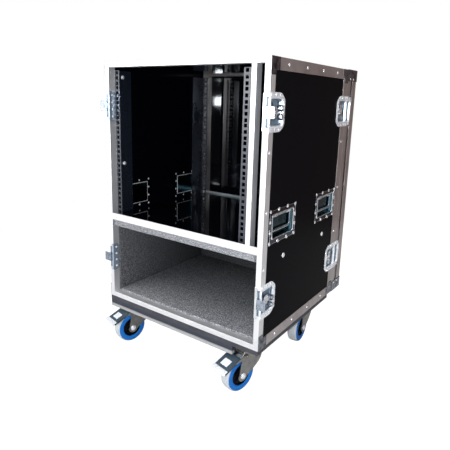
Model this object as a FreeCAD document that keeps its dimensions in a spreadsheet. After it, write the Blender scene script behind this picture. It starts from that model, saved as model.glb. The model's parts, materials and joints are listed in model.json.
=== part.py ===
import FreeCAD, Part
import Sketcher
import os

# Equipment rack case: a plywood flight case on castors with a ten-unit rack bay above a felt-lined
# storage bay, a side slot behind an inner partition, and a lift-off rear lid held by turn latches.
# Frame: +Z up, +X to the case's right seen from the front, +Y towards the rear, origin on the floor
# under the middle of the whole object. Lengths are in millimetres.

doc = FreeCAD.newDocument("rack_case")
sheet = doc.addObject("Spreadsheet::Sheet", "dims")

DIMENSIONS = {
    # case envelope
    "case_width": 568.0,
    "case_height": 745.0,
    "body_depth": 490.0,
    "lid_depth": 75.0,
    "front_plane": -256.0,
    "base_height": 154.0,
    # boards and aluminium sections
    "ply": 9.0,
    "skin": 1.5,
    "edge_face": 15.5,
    "face_thick": 4.0,
    "inner_leg": 24.0,
    "front_leg": 24.0,
    "rear_leg": 33.0,
    "lid_leg": 28.0,
    "angle_leg": 30.0,
    # inside of the case
    "shelf_top": 277.5,
    "shelf_lip": 284.0,
    "lip_thick": 2.0,
    "shelf_profile": 21.0,
    "felt_band": 19.5,
    "lining": 10.0,
    "partition_x": 234.5,
    "partition_face": 14.0,
    # rack strip, to the 19-inch standard
    "rack_offset": -28.0,
    "column_spacing": 465.1,
    "strip_tall": 444.5,
    "strip_end": 6.35,
    "rack_unit": 44.45,
    "hole_pitch": 15.875,
    "square_hole": 9.5,
    "strip_setback": 25.0,
    "strip_thick": 2.0,
    "strip_side": 65.0,
    "strip_inner": 9.5,
    "strip_gap": 2.3,
    # turn latches
    "latch_high": 617.0,
    "latch_low": 135.0,
    "latch_wide": 76.0,
    "latch_tall": 94.0,
    "latch_pan_tall": 70.0,
    "latch_pan_back": 274.0,
    "latch_wrap": 88.0,
    "pan_margin": 8.0,
    "keeper_wide": 42.0,
    "sheet_metal": 1.2,
    "key_reach": 38.0,
    "key_disc": 13.0,
    "key_pin": 3.0,
    "fit": 0.05,
    "wing_half": 18.0,
    "wing_lift": 23.5,
    "hook_wide": 18.0,
    "hook_thick": 2.5,
    "hook_reach": 12.0,
    "claw_ahead": 6.0,
    "claw_out": 18.0,
    "claw_tall": 28.0,
    "key_thick": 2.2,
    "wing_thick": 2.5,
    "wing_flat": 8.0,
    "wing_long": 23.0,
    "hook_travel": 10.0,
    # drop handles
    "handle_near": 100.0,
    "handle_far": 378.0,
    "handle_level": 330.0,
    "handle_wide": 150.0,
    "handle_tall": 100.0,
    "handle_pan_wide": 118.0,
    "handle_pan_tall": 64.0,
    "handle_pan_back": 271.5,
    "grip_wide": 100.0,
    "grip_drop": 40.0,
    "grip_bar": 4.0,
    "grip_arm": 3.5,
    "grip_eye": 4.4,
    "grip_pin": 3.0,
    # base and castors
    "board_thick": 12.0,
    "board_depth": 460.0,
    "skirt_tall": 26.0,
    "skirt_thick": 12.0,
    "skirt_right": 204.0,
    "castor_x": 217.0,
    "castor_near": 66.0,
    "castor_far": 417.0,
    "front_turn": -14.0,
    "rear_turn": 4.0,
    "wheel_radius": 50.0,
    "wheel_wide": 34.0,
    "tread_thick": 9.0,
    "trail": 41.0,
    "axle_radius": 6.0,
    "plate_long": 105.0,
    "plate_wide": 85.0,
    "plate_thick": 4.0,
    "bolt_long": 80.0,
    "bolt_wide": 60.0,
    "bolt_radius": 4.0,
    "rim_radius": 31.0,
    "hub_wide": 36.0,
    "race_radius": 30.0,
    "race_tall": 8.0,
    "race_gap": 0.3,
    "crown_thick": 6.0,
    "fork_boss": 14.0,
    "fork_half": 23.0,
    "fork_metal": 3.0,
    "pedal_half": 28.0,
    "pedal_back": 28.0,
    "pedal_high": 106.0,
    "pedal_pin": 3.0,
    "pedal_arm": 36.0,
    "pedal_long": 90.0,
    "pedal_slope": 26.0,
    # small fasteners
    "rivet_radius": 4.0,
    "rivet_tall": 1.6,
    "coach_radius": 7.0,
    "coach_tall": 3.0,
    "coach_level": 236.0,
    "coach_near": 116.0,
    "coach_far": 375.0,
    "strip_bolt_reach": 55.0,
    "strip_bolt_low": 437.0,
    "strip_bolt_high": 703.0,
    "corner_leg": 42.0,
    "cap_deep": 72.0,
    "cap_tall": 34.0,
    "ball_inset": 13.0,
    "ball_proud": 3.0,
    "lid_gap": 0.3,
}

for row, (alias, value) in enumerate(DIMENSIONS.items(), start=1):
    sheet.set("A%d" % row, alias)
    sheet.set("B%d" % row, str(value))
    sheet.setAlias("B%d" % row, alias)
doc.recompute()

# Expressions for places that many pieces share.
HALF = "dims.case_width / 2"
FRONT = "dims.front_plane"
SEAM = "(dims.front_plane + dims.body_depth)"
REAR = "(dims.front_plane + dims.body_depth + dims.lid_depth)"
FLOOR_LINE = "dims.base_height"
TOP_LINE = "(dims.base_height + dims.case_height)"
PANEL_OUT = "(dims.case_width / 2 - dims.skin)"
PANEL_IN = "(dims.case_width / 2 - dims.skin - dims.ply)"
PANEL_THROUGH = "(dims.case_width / 2 - dims.skin - dims.ply - 1)"
EDGE_IN = "(dims.case_width / 2 - dims.edge_face)"
BOARD_UNDER = "(dims.base_height - dims.board_thick)"

made = []


def value_of(expression):
    """Number that a sheet expression gives now."""
    found = sheet.evalExpression(str(expression))
    return float(getattr(found, "Value", found))


def bind(item, prop, expression):
    item.setExpression(prop, str(expression))


def move_to(item, x, y, z):
    bind(item, "Placement.Base.x", x)
    bind(item, "Placement.Base.y", y)
    bind(item, "Placement.Base.z", z)
    return item


def new(kind, label):
    item = doc.addObject(kind, label)
    item.Label = label
    return item


def box(label, x0, x1, y0, y1, z0, z1):
    """Block between two corners, each side an expression."""
    item = new("Part::Box", label)
    bind(item, "Length", "(%s) - (%s)" % (x1, x0))
    bind(item, "Width", "(%s) - (%s)" % (y1, y0))
    bind(item, "Height", "(%s) - (%s)" % (z1, z0))
    return move_to(item, x0, y0, z0)


AXIS_TURNS = {
    "x": FreeCAD.Rotation(FreeCAD.Vector(0, 1, 0), 90),
    "y": FreeCAD.Rotation(FreeCAD.Vector(1, 0, 0), -90),
    "z": FreeCAD.Rotation(),
}


def rod(label, axis, radius, length, x, y, z):
    """Round bar that starts at x, y, z and runs along one axis."""
    item = new("Part::Cylinder", label)
    item.Placement = FreeCAD.Placement(FreeCAD.Vector(), AXIS_TURNS[axis])
    bind(item, "Radius", radius)
    bind(item, "Height", length)
    return move_to(item, x, y, z)


def join(label, parts):
    item = new("Part::MultiFuse", label)
    item.Shapes = parts
    return item


def cut(label, base, tools):
    """Base with every tool taken out of it."""
    item = new("Part::Cut", label)
    item.Base = base
    item.Tool = tools[0] if len(tools) == 1 else group(label + "_tools", tools)
    return item


def group(label, parts):
    item = new("Part::Compound", label)
    item.Links = parts
    return item


def mirror(label, source):
    """Copy on the other side of the case's middle plane."""
    item = new("Part::Mirroring", label)
    item.Source = source
    item.Normal = FreeCAD.Vector(1, 0, 0)
    return item


def place(label, source, x, y, z, turn="0"):
    """Copy of a piece made about its own axis, turned about Z and moved."""
    item = new("Part::Compound", label)
    item.Links = [source]
    item.Placement = FreeCAD.Placement(FreeCAD.Vector(), FreeCAD.Rotation(FreeCAD.Vector(0, 0, 1), 1))
    bind(item, "Placement.Rotation.Angle", turn)
    return move_to(item, x, y, z)


def keep(item):
    """Mark an object as a sub-part that is written to its own file."""
    made.append(item)
    return item


def outline(body, name, plane, points):
    """Closed polygon sketch in the first quadrant, every corner tied to sheet expressions."""
    sketch = body.newObject("Sketcher::SketchObject", name)
    origin = [feature for feature in body.Origin.OriginFeatures if feature.Role == plane][0]
    sketch.AttachmentSupport = [(origin, "")]
    sketch.MapMode = "FlatFace"
    places = [FreeCAD.Vector(value_of(across), value_of(up), 0) for across, up in points]
    count = len(places)
    for index in range(count):
        sketch.addGeometry(Part.LineSegment(places[index], places[(index + 1) % count]), False)
    for index in range(count):
        sketch.addConstraint(Sketcher.Constraint("Coincident", index, 2, (index + 1) % count, 1))
    for index, (across, up) in enumerate(points):
        for kind, text, reading, axis in (
            ("DistanceX", across, places[index].x, -2),
            ("DistanceY", up, places[index].y, -1),
        ):
            if abs(reading) < 1e-9:
                sketch.addConstraint(Sketcher.Constraint("PointOnObject", index, 1, axis))
                continue
            number = sketch.addConstraint(Sketcher.Constraint(kind, -1, 1, index, 1, reading))
            sketch.setExpression("Constraints[%d]" % number, text)
    return sketch


def padded_profile(label, plane, points, length):
    """Body made by padding a polygon outline."""
    body = new("PartDesign::Body", label)
    sketch = outline(body, label + "_outline", plane, points)
    pad = body.newObject("PartDesign::Pad", label + "_pad")
    pad.Profile = sketch
    bind(pad, "Length", length)
    return body


def turned_profile(label, points):
    """Body made by turning a polygon outline about its own vertical sketch axis."""
    body = new("PartDesign::Body", label)
    sketch = outline(body, label + "_outline", "XY_Plane", points)
    turn = body.newObject("PartDesign::Revolution", label + "_turn")
    turn.Profile = sketch
    turn.ReferenceAxis = (sketch, ["V_Axis"])
    turn.Angle = 360.0
    return body


# ---------------------------------------------------------------- latches: places and shared cutters

LATCHES = [
    ("front", "high", "dims.latch_high"),
    ("front", "low", "dims.latch_low"),
    ("rear", "high", "dims.latch_high"),
    ("rear", "low", "dims.latch_low"),
]
HANDLES = [("front", "dims.handle_near"), ("rear", "dims.handle_far")]


def latch_level(height):
    return "(dims.base_height + %s)" % height


def latch_span(end, wide):
    """Y range of a latch pan that ends flush with the body's front or rear plane."""
    if end == "front":
        return FRONT, "(dims.front_plane + %s)" % wide
    return "(%s - %s)" % (SEAM, wide), SEAM


def pan_block(label, y0, y1, level, tall, back, outer):
    """Right-hand block from a pan's back to beyond the case's side."""
    half = "%s / 2" % tall
    return box(label, back, outer, y0, y1, "%s - %s" % (level, half), "%s + %s" % (level, half))


def latch_cutters(tag, gap, back):
    """Blocks that clear the right-hand latch pans out of a panel or an edging."""
    blocks = []
    for end, height_name, height in LATCHES:
        y0, y1 = latch_span(end, "(dims.latch_wide - dims.pan_margin)")
        blocks.append(
            pan_block(
                "%s_clear_%s_%s" % (tag, end, height_name),
                "%s - %s" % (y0, gap if end == "front" else 0),
                "%s + %s" % (y1, gap if end == "rear" else 0),
                latch_level(height),
                "dims.latch_pan_tall",
                back,
                "%s + 1" % HALF,
            )
        )
    return blocks


# ---------------------------------------------------------------- plywood body

def handle_cutters(tag):
    blocks = []
    for end, reach in HANDLES:
        middle = "(dims.front_plane + %s)" % reach
        blocks.append(
            pan_block(
                "%s_handle_clear_%s" % (tag, end),
                "%s - dims.handle_pan_wide / 2" % middle,
                "%s + dims.handle_pan_wide / 2" % middle,
                "(dims.base_height + dims.handle_level)",
                "dims.handle_pan_tall",
                PANEL_THROUGH,
                "%s + 1" % HALF,
            )
        )
    return blocks


side_blank = box(
    "side_blank",
    PANEL_IN,
    PANEL_OUT,
    "%s + dims.face_thick" % FRONT,
    "%s - dims.face_thick" % SEAM,
    "%s + dims.skin" % FLOOR_LINE,
    "%s - dims.skin" % TOP_LINE,
)
side_holes = latch_cutters("side", 1, PANEL_THROUGH) + handle_cutters("side")
side_right = keep(cut("side_panel_right", side_blank, side_holes))
keep(mirror("side_panel_left", side_right))


def post_notches(tag, y0, y1, z0, z1):
    """Blocks, one per side, that clear the inner legs of two upright edging posts."""
    return [
        box(tag + "_right", EDGE_IN, "%s + 1" % PANEL_IN, y0, y1, z0 + " - 1", z1 + " + 1"),
        box(tag + "_left", "-%s - 1" % PANEL_IN, "-%s" % EDGE_IN, y0, y1, z0 + " - 1", z1 + " + 1"),
    ]


def notched_board(label, z0, z1):
    """Level board between the sides, notched round the inner legs of the front and rear edging."""
    blank = box(
        label + "_blank",
        "-%s" % PANEL_IN,
        PANEL_IN,
        "%s + dims.face_thick" % FRONT,
        "%s - dims.face_thick" % SEAM,
        z0,
        z1,
    )
    front = post_notches(label + "_front_notch", FRONT, "%s + dims.inner_leg" % FRONT, z0, z1)
    rear = post_notches(label + "_rear_notch", "%s - dims.inner_leg" % SEAM, SEAM, z0, z1)
    return cut(label, blank, front + rear)


for label, z0, z1 in (
    ("top_panel", "%s - dims.skin - dims.ply" % TOP_LINE, "%s - dims.skin" % TOP_LINE),
    ("bottom_panel", "%s + dims.skin" % FLOOR_LINE, "%s + dims.skin + dims.ply" % FLOOR_LINE),
):
    keep(notched_board(label, z0, z1))

SHELF_TOP = "(dims.base_height + dims.shelf_top)"
SHELF_UNDER = "(dims.base_height + dims.shelf_top - dims.ply)"
SHELF_LIP = "(dims.base_height + dims.shelf_lip)"
CEILING = "(%s - dims.skin - dims.ply)" % TOP_LINE

keep(notched_board("middle_shelf", SHELF_UNDER, SHELF_TOP))
keep(
    box(
        "partition_panel",
        "dims.partition_x",
        "dims.partition_x + dims.ply",
        "%s + dims.inner_leg" % FRONT,
        "%s - dims.inner_leg" % SEAM,
        SHELF_TOP,
        CEILING,
    )
)

# ---------------------------------------------------------------- felt-covered boards of the storage bay

LINING_FLOOR = "(dims.base_height + dims.skin + dims.ply)"
LINING_ROOF = "(%s - dims.lining)" % SHELF_UNDER
LINING_FRONT = "(%s + dims.inner_leg)" % FRONT
LINING_BACK = "(%s - dims.inner_leg)" % SEAM
lining = [
    box("felt_floor", "-%s" % PANEL_IN, PANEL_IN, LINING_FRONT, LINING_BACK, LINING_FLOOR,
        LINING_FLOOR + " + dims.lining"),
    box("felt_roof", "-%s" % PANEL_IN, PANEL_IN, LINING_FRONT, LINING_BACK, LINING_ROOF, SHELF_UNDER),
    box("felt_right", PANEL_IN + " - dims.lining", PANEL_IN, LINING_FRONT, LINING_BACK,
        LINING_FLOOR + " + dims.lining", LINING_ROOF),
    box("felt_left", "-%s" % PANEL_IN, "-%s + dims.lining" % PANEL_IN, LINING_FRONT, LINING_BACK,
        LINING_FLOOR + " + dims.lining", LINING_ROOF),
    box("felt_back", "-%s + dims.lining" % PANEL_IN, PANEL_IN + " - dims.lining",
        LINING_BACK + " - dims.lining", LINING_BACK, LINING_FLOOR + " + dims.lining", LINING_ROOF),
    box("felt_band", "-%s" % EDGE_IN, EDGE_IN, "%s + 1" % FRONT, LINING_FRONT,
        "%s - dims.shelf_profile - dims.felt_band" % SHELF_LIP, "%s - dims.shelf_profile" % SHELF_LIP),
]
keep(group("storage_lining", lining))

# ---------------------------------------------------------------- aluminium edging


def channel(label, run, leg, length, depth_flip, out_flip):
    """Edging section: a face, a long outer leg and a thick inner leg with the panel's slot between.

    A post is drawn across X and Y and runs up; a rail is drawn across Y and Z and runs along X.
    """
    slot_out = "dims.edge_face - dims.skin"
    slot_in = "dims.edge_face - dims.skin - dims.ply"
    section = [
        ("0", "0"),
        ("dims.edge_face", "0"),
        ("dims.edge_face", leg),
        (slot_out, leg),
        (slot_out, "dims.face_thick"),
        (slot_in, "dims.face_thick"),
        (slot_in, "dims.inner_leg"),
        ("0", "dims.inner_leg"),
    ]
    points = []
    for out, depth in section:
        if out_flip:
            out = "dims.edge_face - (%s)" % out
        if depth_flip:
            depth = "%s - (%s)" % (leg, depth)
        points.append((out, depth) if run == "post" else (depth, out))
    return padded_profile(label, "XY_Plane" if run == "post" else "YZ_Plane", points, length)


def edging(tag, leg, face_y, faces_rear):
    """Right post, top rail and bottom rail of one edging frame; its open side faces the panels."""
    start = "%s - %s" % (face_y, leg) if faces_rear else face_y
    post = channel(tag + "_post", "post", leg, "dims.case_height", faces_rear, False)
    move_to(post, EDGE_IN, start, FLOOR_LINE)
    rails = []
    for name, out_flip, low in (
        ("top", False, "%s - dims.edge_face" % TOP_LINE),
        ("bottom", True, FLOOR_LINE),
    ):
        rail = channel("%s_%s_rail" % (tag, name), "rail", leg, "2 * %s" % EDGE_IN, faces_rear, out_flip)
        move_to(rail, "-%s" % EDGE_IN, start, low)
        rails.append(rail)
    return post, rails


for tag, leg, face_y, faces_rear in (
    ("front_edging", "dims.front_leg", FRONT, False),
    ("rear_edging", "dims.rear_leg", SEAM, True),
):
    post, rails = edging(tag, leg, face_y, faces_rear)
    right = cut(tag + "_right", post, latch_cutters(tag, 1, "dims.latch_pan_back"))
    keep(group(tag, [right, mirror(tag + "_left", right)] + rails))

# Corner angles that join the sides to the top and the bottom.
ANGLE = [
    ("0", "0"),
    ("dims.angle_leg", "0"),
    ("dims.angle_leg", "dims.angle_leg"),
    ("dims.angle_leg - dims.skin", "dims.angle_leg"),
    ("dims.angle_leg - dims.skin", "dims.skin"),
    ("0", "dims.skin"),
]
ANGLE_TOP = [(across, "dims.angle_leg - (%s)" % up) for across, up in ANGLE]
BODY_ANGLE_RUN = "dims.body_depth - dims.front_leg - dims.rear_leg"
angles = []
for name, section, low in (
    ("bottom", ANGLE, FLOOR_LINE),
    ("top", ANGLE_TOP, "%s - dims.angle_leg" % TOP_LINE),
):
    angle = padded_profile("angle_" + name, "XZ_Plane", section, BODY_ANGLE_RUN)
    move_to(angle, "%s - dims.angle_leg" % HALF, "%s - dims.rear_leg" % SEAM, low)
    angles += [angle, mirror("angle_%s_left" % name, angle)]
keep(group("corner_angles", angles))

# Shelf profiles with a raised lip, front and rear, and the partition's front and rear posts.
LIP_SECTION = [
    ("0", "0"),
    ("dims.inner_leg", "0"),
    ("dims.inner_leg", "%s - (%s - dims.shelf_profile)" % (SHELF_UNDER, SHELF_LIP)),
    ("dims.face_thick", "%s - (%s - dims.shelf_profile)" % (SHELF_UNDER, SHELF_LIP)),
    ("dims.face_thick", "%s - (%s - dims.shelf_profile)" % (SHELF_TOP, SHELF_LIP)),
    ("dims.lip_thick", "%s - (%s - dims.shelf_profile)" % (SHELF_TOP, SHELF_LIP)),
    ("dims.lip_thick", "dims.shelf_profile"),
    ("0", "dims.shelf_profile"),
]
shelf_front = padded_profile("shelf_profile_front", "YZ_Plane", LIP_SECTION, "2 * %s" % EDGE_IN)
move_to(shelf_front, "-%s" % EDGE_IN, FRONT, "%s - dims.shelf_profile" % SHELF_LIP)
shelf_rear = padded_profile(
    "shelf_profile_rear",
    "YZ_Plane",
    [("dims.inner_leg - (%s)" % depth, up) for depth, up in LIP_SECTION],
    "2 * %s" % EDGE_IN,
)
move_to(shelf_rear, "-%s" % EDGE_IN, "%s - dims.inner_leg" % SEAM, "%s - dims.shelf_profile" % SHELF_LIP)
divider = [shelf_front, shelf_rear]
PARTITION_MID = "(dims.partition_x + dims.ply / 2)"
for name, y0, y1, lip_y0, lip_y1 in (
    ("front", FRONT, "%s + dims.inner_leg" % FRONT, FRONT, "%s + dims.lip_thick" % FRONT),
    ("rear", "%s - dims.inner_leg" % SEAM, SEAM, "%s - dims.lip_thick" % SEAM, SEAM),
):
    tube = box(
        "partition_post_%s_outer" % name,
        "%s - dims.partition_face / 2" % PARTITION_MID,
        "%s + dims.partition_face / 2" % PARTITION_MID,
        y0,
        y1,
        SHELF_TOP,
        "%s - dims.edge_face" % TOP_LINE,
    )
    hollow = box(
        "partition_post_%s_hollow" % name,
        "%s - dims.partition_face / 2 + dims.skin" % PARTITION_MID,
        "%s + dims.partition_face / 2 - dims.skin" % PARTITION_MID,
        "%s + dims.skin" % y0,
        "%s - dims.skin" % y1,
        SHELF_TOP + " - 1",
        "%s - dims.edge_face + 1" % TOP_LINE,
    )
    lip_notch = box(
        "partition_post_%s_lip_notch" % name,
        "%s - dims.partition_face" % PARTITION_MID,
        "%s + dims.partition_face" % PARTITION_MID,
        lip_y0,
        lip_y1,
        SHELF_TOP + " - 1",
        SHELF_LIP,
    )
    divider.append(cut("partition_post_%s" % name, tube, [hollow, lip_notch]))
keep(group("divider_edging", divider))

# ---------------------------------------------------------------- rack strips


def rack_strip(label, wide, hole_across, side_at_right):
    """Angle strip with square holes; the holes stand hole_across from its left edge."""
    if side_at_right:
        section = [
            ("0", "0"),
            (wide, "0"),
            (wide, "dims.strip_side"),
            ("%s - dims.strip_thick" % wide, "dims.strip_side"),
            ("%s - dims.strip_thick" % wide, "dims.strip_thick"),
            ("0", "dims.strip_thick"),
        ]
    else:
        section = [
            ("0", "0"),
            (wide, "0"),
            (wide, "dims.strip_thick"),
            ("dims.strip_thick", "dims.strip_thick"),
            ("dims.strip_thick", "dims.strip_side"),
            ("0", "dims.strip_side"),
        ]
    body = padded_profile(label, "XY_Plane", section, "dims.strip_tall")
    doc.recompute()
    solid_before = body.Shape.Volume
    holes = []
    for index in range(3):
        middle = "(dims.strip_end + %d * dims.hole_pitch)" % index
        low, high = middle + " - dims.square_hole / 2", middle + " + dims.square_hole / 2"
        left = "%s - dims.square_hole / 2" % hole_across
        right = "%s + dims.square_hole / 2" % hole_across
        sketch = outline(
            body,
            "%s_hole_%d" % (label, index),
            "XZ_Plane",
            [(left, low), (right, low), (right, high), (left, high)],
        )
        pocket = body.newObject("PartDesign::Pocket", "%s_pocket_%d" % (label, index))
        pocket.Profile = sketch
        bind(pocket, "Length", "dims.strip_thick + 1")
        holes.append(pocket)
    doc.recompute()
    if body.Shape.Volume >= solid_before:
        raise SystemExit("the rack holes of %s cut nothing" % label)
    pattern = body.newObject("PartDesign::LinearPattern", label + "_units")
    pattern.Originals = holes
    axis = [feature for feature in body.Origin.OriginFeatures if feature.Role == "Z_Axis"][0]
    pattern.Direction = (axis, [""])
    bind(pattern, "Length", "9 * dims.rack_unit")
    pattern.Occurrences = 10
    body.Tip = pattern
    return body


COLUMN_LEFT = "(dims.rack_offset - dims.column_spacing / 2)"
COLUMN_RIGHT = "(dims.rack_offset + dims.column_spacing / 2)"
STRIP_LEFT = "(-%s + dims.strip_gap)" % PANEL_IN
strip_left = rack_strip(
    "strip_left",
    "(%s + dims.strip_inner - %s)" % (COLUMN_LEFT, STRIP_LEFT),
    "(%s - %s)" % (COLUMN_LEFT, STRIP_LEFT),
    False,
)
move_to(strip_left, STRIP_LEFT, "%s + dims.strip_setback" % FRONT, SHELF_TOP)
strip_right = rack_strip(
    "strip_right",
    "(dims.partition_x - %s + dims.strip_inner)" % COLUMN_RIGHT,
    "dims.strip_inner",
    True,
)
move_to(strip_right, "%s - dims.strip_inner" % COLUMN_RIGHT, "%s + dims.strip_setback" % FRONT, SHELF_TOP)
keep(group("rack_strips_front", [strip_left, strip_right]))
rear_strips = []
for name, strip in (("left", strip_left), ("right", strip_right)):
    flipped = new("Part::Mirroring", "strip_rear_" + name)
    flipped.Source = strip
    flipped.Normal = FreeCAD.Vector(0, 1, 0)
    bind(flipped, "Base.y", "dims.front_plane + dims.body_depth / 2")
    rear_strips.append(flipped)
keep(group("rack_strips_rear", rear_strips))

# ---------------------------------------------------------------- turn latches


def toward(end, edge, distance):
    """Place at a distance behind the body's front plane, or before its rear plane."""
    return "(%s %s %s)" % (edge, "+" if end == "front" else "-", distance)


def ordered(end, first, second):
    return (first, second) if end == "front" else (second, first)


def latch_pan(end, height_name, height):
    """Right-hand pan: a pressed tray with a rim, a slot for the hook and a hole for the key's pin.

    A front pan is open towards the front, and it wraps round the post's face and inner leg.
    """
    tag = "latch_%s_%s" % (end, height_name)
    edge = FRONT if end == "front" else SEAM
    level = latch_level(height)
    y0, y1 = latch_span(end, "(dims.latch_wide - dims.pan_margin)")
    tray = pan_block(tag + "_tray", y0, y1, level, "dims.latch_pan_tall", "dims.latch_pan_back", HALF)
    rim_y0, rim_y1 = latch_span(end, "dims.latch_wide")
    rim = pan_block(
        tag + "_rim", rim_y0, rim_y1, level, "dims.latch_tall", HALF, "%s + dims.sheet_metal" % HALF
    )
    pressed = [tray, rim]
    if end == "front":
        face = "(%s - dims.sheet_metal)" % FRONT
        wrap_in = "(%s - dims.sheet_metal)" % EDGE_IN
        leg_end = "(%s + dims.inner_leg - 1)" % FRONT
        pressed += [
            pan_block(
                tag + "_lip", face, FRONT, level, "dims.latch_wrap", wrap_in,
                "dims.latch_pan_back + dims.sheet_metal",
            ),
            pan_block(tag + "_wrap", face, leg_end, level, "dims.latch_wrap", wrap_in, EDGE_IN),
        ]
    hollow = pan_block(
        tag + "_hollow",
        "%s - 1" % y0 if end == "front" else "%s + dims.sheet_metal" % y0,
        "%s - dims.sheet_metal" % y1,
        level,
        "(dims.latch_pan_tall - 2 * dims.sheet_metal)",
        "dims.latch_pan_back + dims.sheet_metal",
        "%s + dims.sheet_metal + 1" % HALF,
    )
    hole = rod(
        tag + "_pin_hole",
        "x",
        "dims.key_pin + dims.fit",
        "dims.sheet_metal + 2",
        "dims.latch_pan_back - 1",
        toward(end, edge, "dims.key_reach"),
        level,
    )
    openings = [hollow, hole]
    if end == "rear":
        openings.append(
            pan_block(
                tag + "_slot",
                "%s - dims.sheet_metal - 1" % SEAM,
                "%s + 1" % SEAM,
                level,
                "(dims.hook_wide + 1)",
                "dims.latch_pan_back + dims.sheet_metal",
                "dims.latch_pan_back + dims.sheet_metal + dims.hook_thick + 1",
            )
        )
    return cut(tag + "_pan", join(tag + "_blank", pressed), openings)


def latch_key(end, height_name, height):
    """Key: a pin and a disc with two wings, standing up on an open latch and flat on a closed one."""
    tag = "key_%s_%s" % (end, height_name)
    edge = FRONT if end == "front" else SEAM
    level = latch_level(height)
    middle = toward(end, edge, "dims.key_reach")
    disc_low = "(dims.latch_pan_back + dims.sheet_metal + dims.hook_thick + 1.3)"
    disc_high = "(%s + dims.key_thick)" % disc_low
    pin = rod(
        tag + "_pin", "x", "dims.key_pin", "%s - dims.latch_pan_back + 0.3" % disc_low,
        "dims.latch_pan_back - 0.3", middle, level,
    )
    disc = rod(tag + "_disc", "x", "dims.key_disc", "dims.key_thick", disc_low, middle, level)
    if end == "front":
        across, along, top = "dims.wing_thick / 2", "dims.wing_half", "%s + dims.wing_lift" % disc_high
    else:
        across, along, top = "dims.wing_flat", "dims.wing_long", "%s + dims.wing_thick" % disc_high
    wings = box(
        tag + "_wings",
        disc_high,
        top,
        "%s - %s" % (middle, across),
        "%s + %s" % (middle, across),
        "%s - %s" % (level, along),
        "%s + %s" % (level, along),
    )
    return join(tag + "_key", [pin, disc, wings])


def latch_hook(end, height_name, height):
    """Hook: a flat bar slotted for the key's pin; it reaches into the keeper on a closed latch.

    A front hook stands ahead of the case and ends in a claw that is bent outwards.
    """
    tag = "hook_%s_%s" % (end, height_name)
    edge = FRONT if end == "front" else SEAM
    level = latch_level(height)
    low = "(dims.latch_pan_back + dims.sheet_metal + 0.5)"
    high = "%s + dims.hook_thick" % low
    tip = toward(end, edge, "(-dims.claw_ahead)" if end == "front" else "-dims.hook_reach")
    tail = toward(end, edge, "(dims.key_reach + dims.key_pin + dims.hook_travel + 5)")
    y0, y1 = ordered(end, tip, tail)
    bar = box(
        tag + "_bar", low, high, y0, y1,
        "%s - dims.hook_wide / 2" % level, "%s + dims.hook_wide / 2" % level,
    )
    slot_y0, slot_y1 = ordered(
        end,
        toward(end, edge, "(dims.key_reach - dims.key_pin - 0.3)"),
        toward(end, edge, "(dims.key_reach + dims.key_pin + dims.hook_travel + 0.3)"),
    )
    slot = box(
        tag + "_slot", low + " - 1", high + " + 1", slot_y0, slot_y1,
        "%s - dims.key_pin - 0.3" % level, "%s + dims.key_pin + 0.3" % level,
    )
    if end == "front":
        claw = box(
            tag + "_claw", low, "%s + dims.claw_out" % HALF, tip, "%s + dims.hook_thick" % tip,
            "%s - dims.claw_tall / 2" % level, "%s + dims.claw_tall / 2" % level,
        )
        bar = join(tag + "_blank", [bar, claw])
    return cut(tag + "_hook", bar, [slot])


pans = []
for end, height_name, height in LATCHES:
    pan = latch_pan(end, height_name, height)
    pans += [pan, mirror("latch_%s_%s_pan_left" % (end, height_name), pan)]
    for piece, maker in (("key", latch_key), ("hook", latch_hook)):
        right = maker(end, height_name, height)
        right.Label = "latch_%s_%s_%s_right" % (piece, end, height_name)
        keep(right)
        keep(mirror("latch_%s_%s_%s_left" % (piece, end, height_name), right))
keep(group("latch_pans", pans))

# ---------------------------------------------------------------- drop handles

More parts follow.
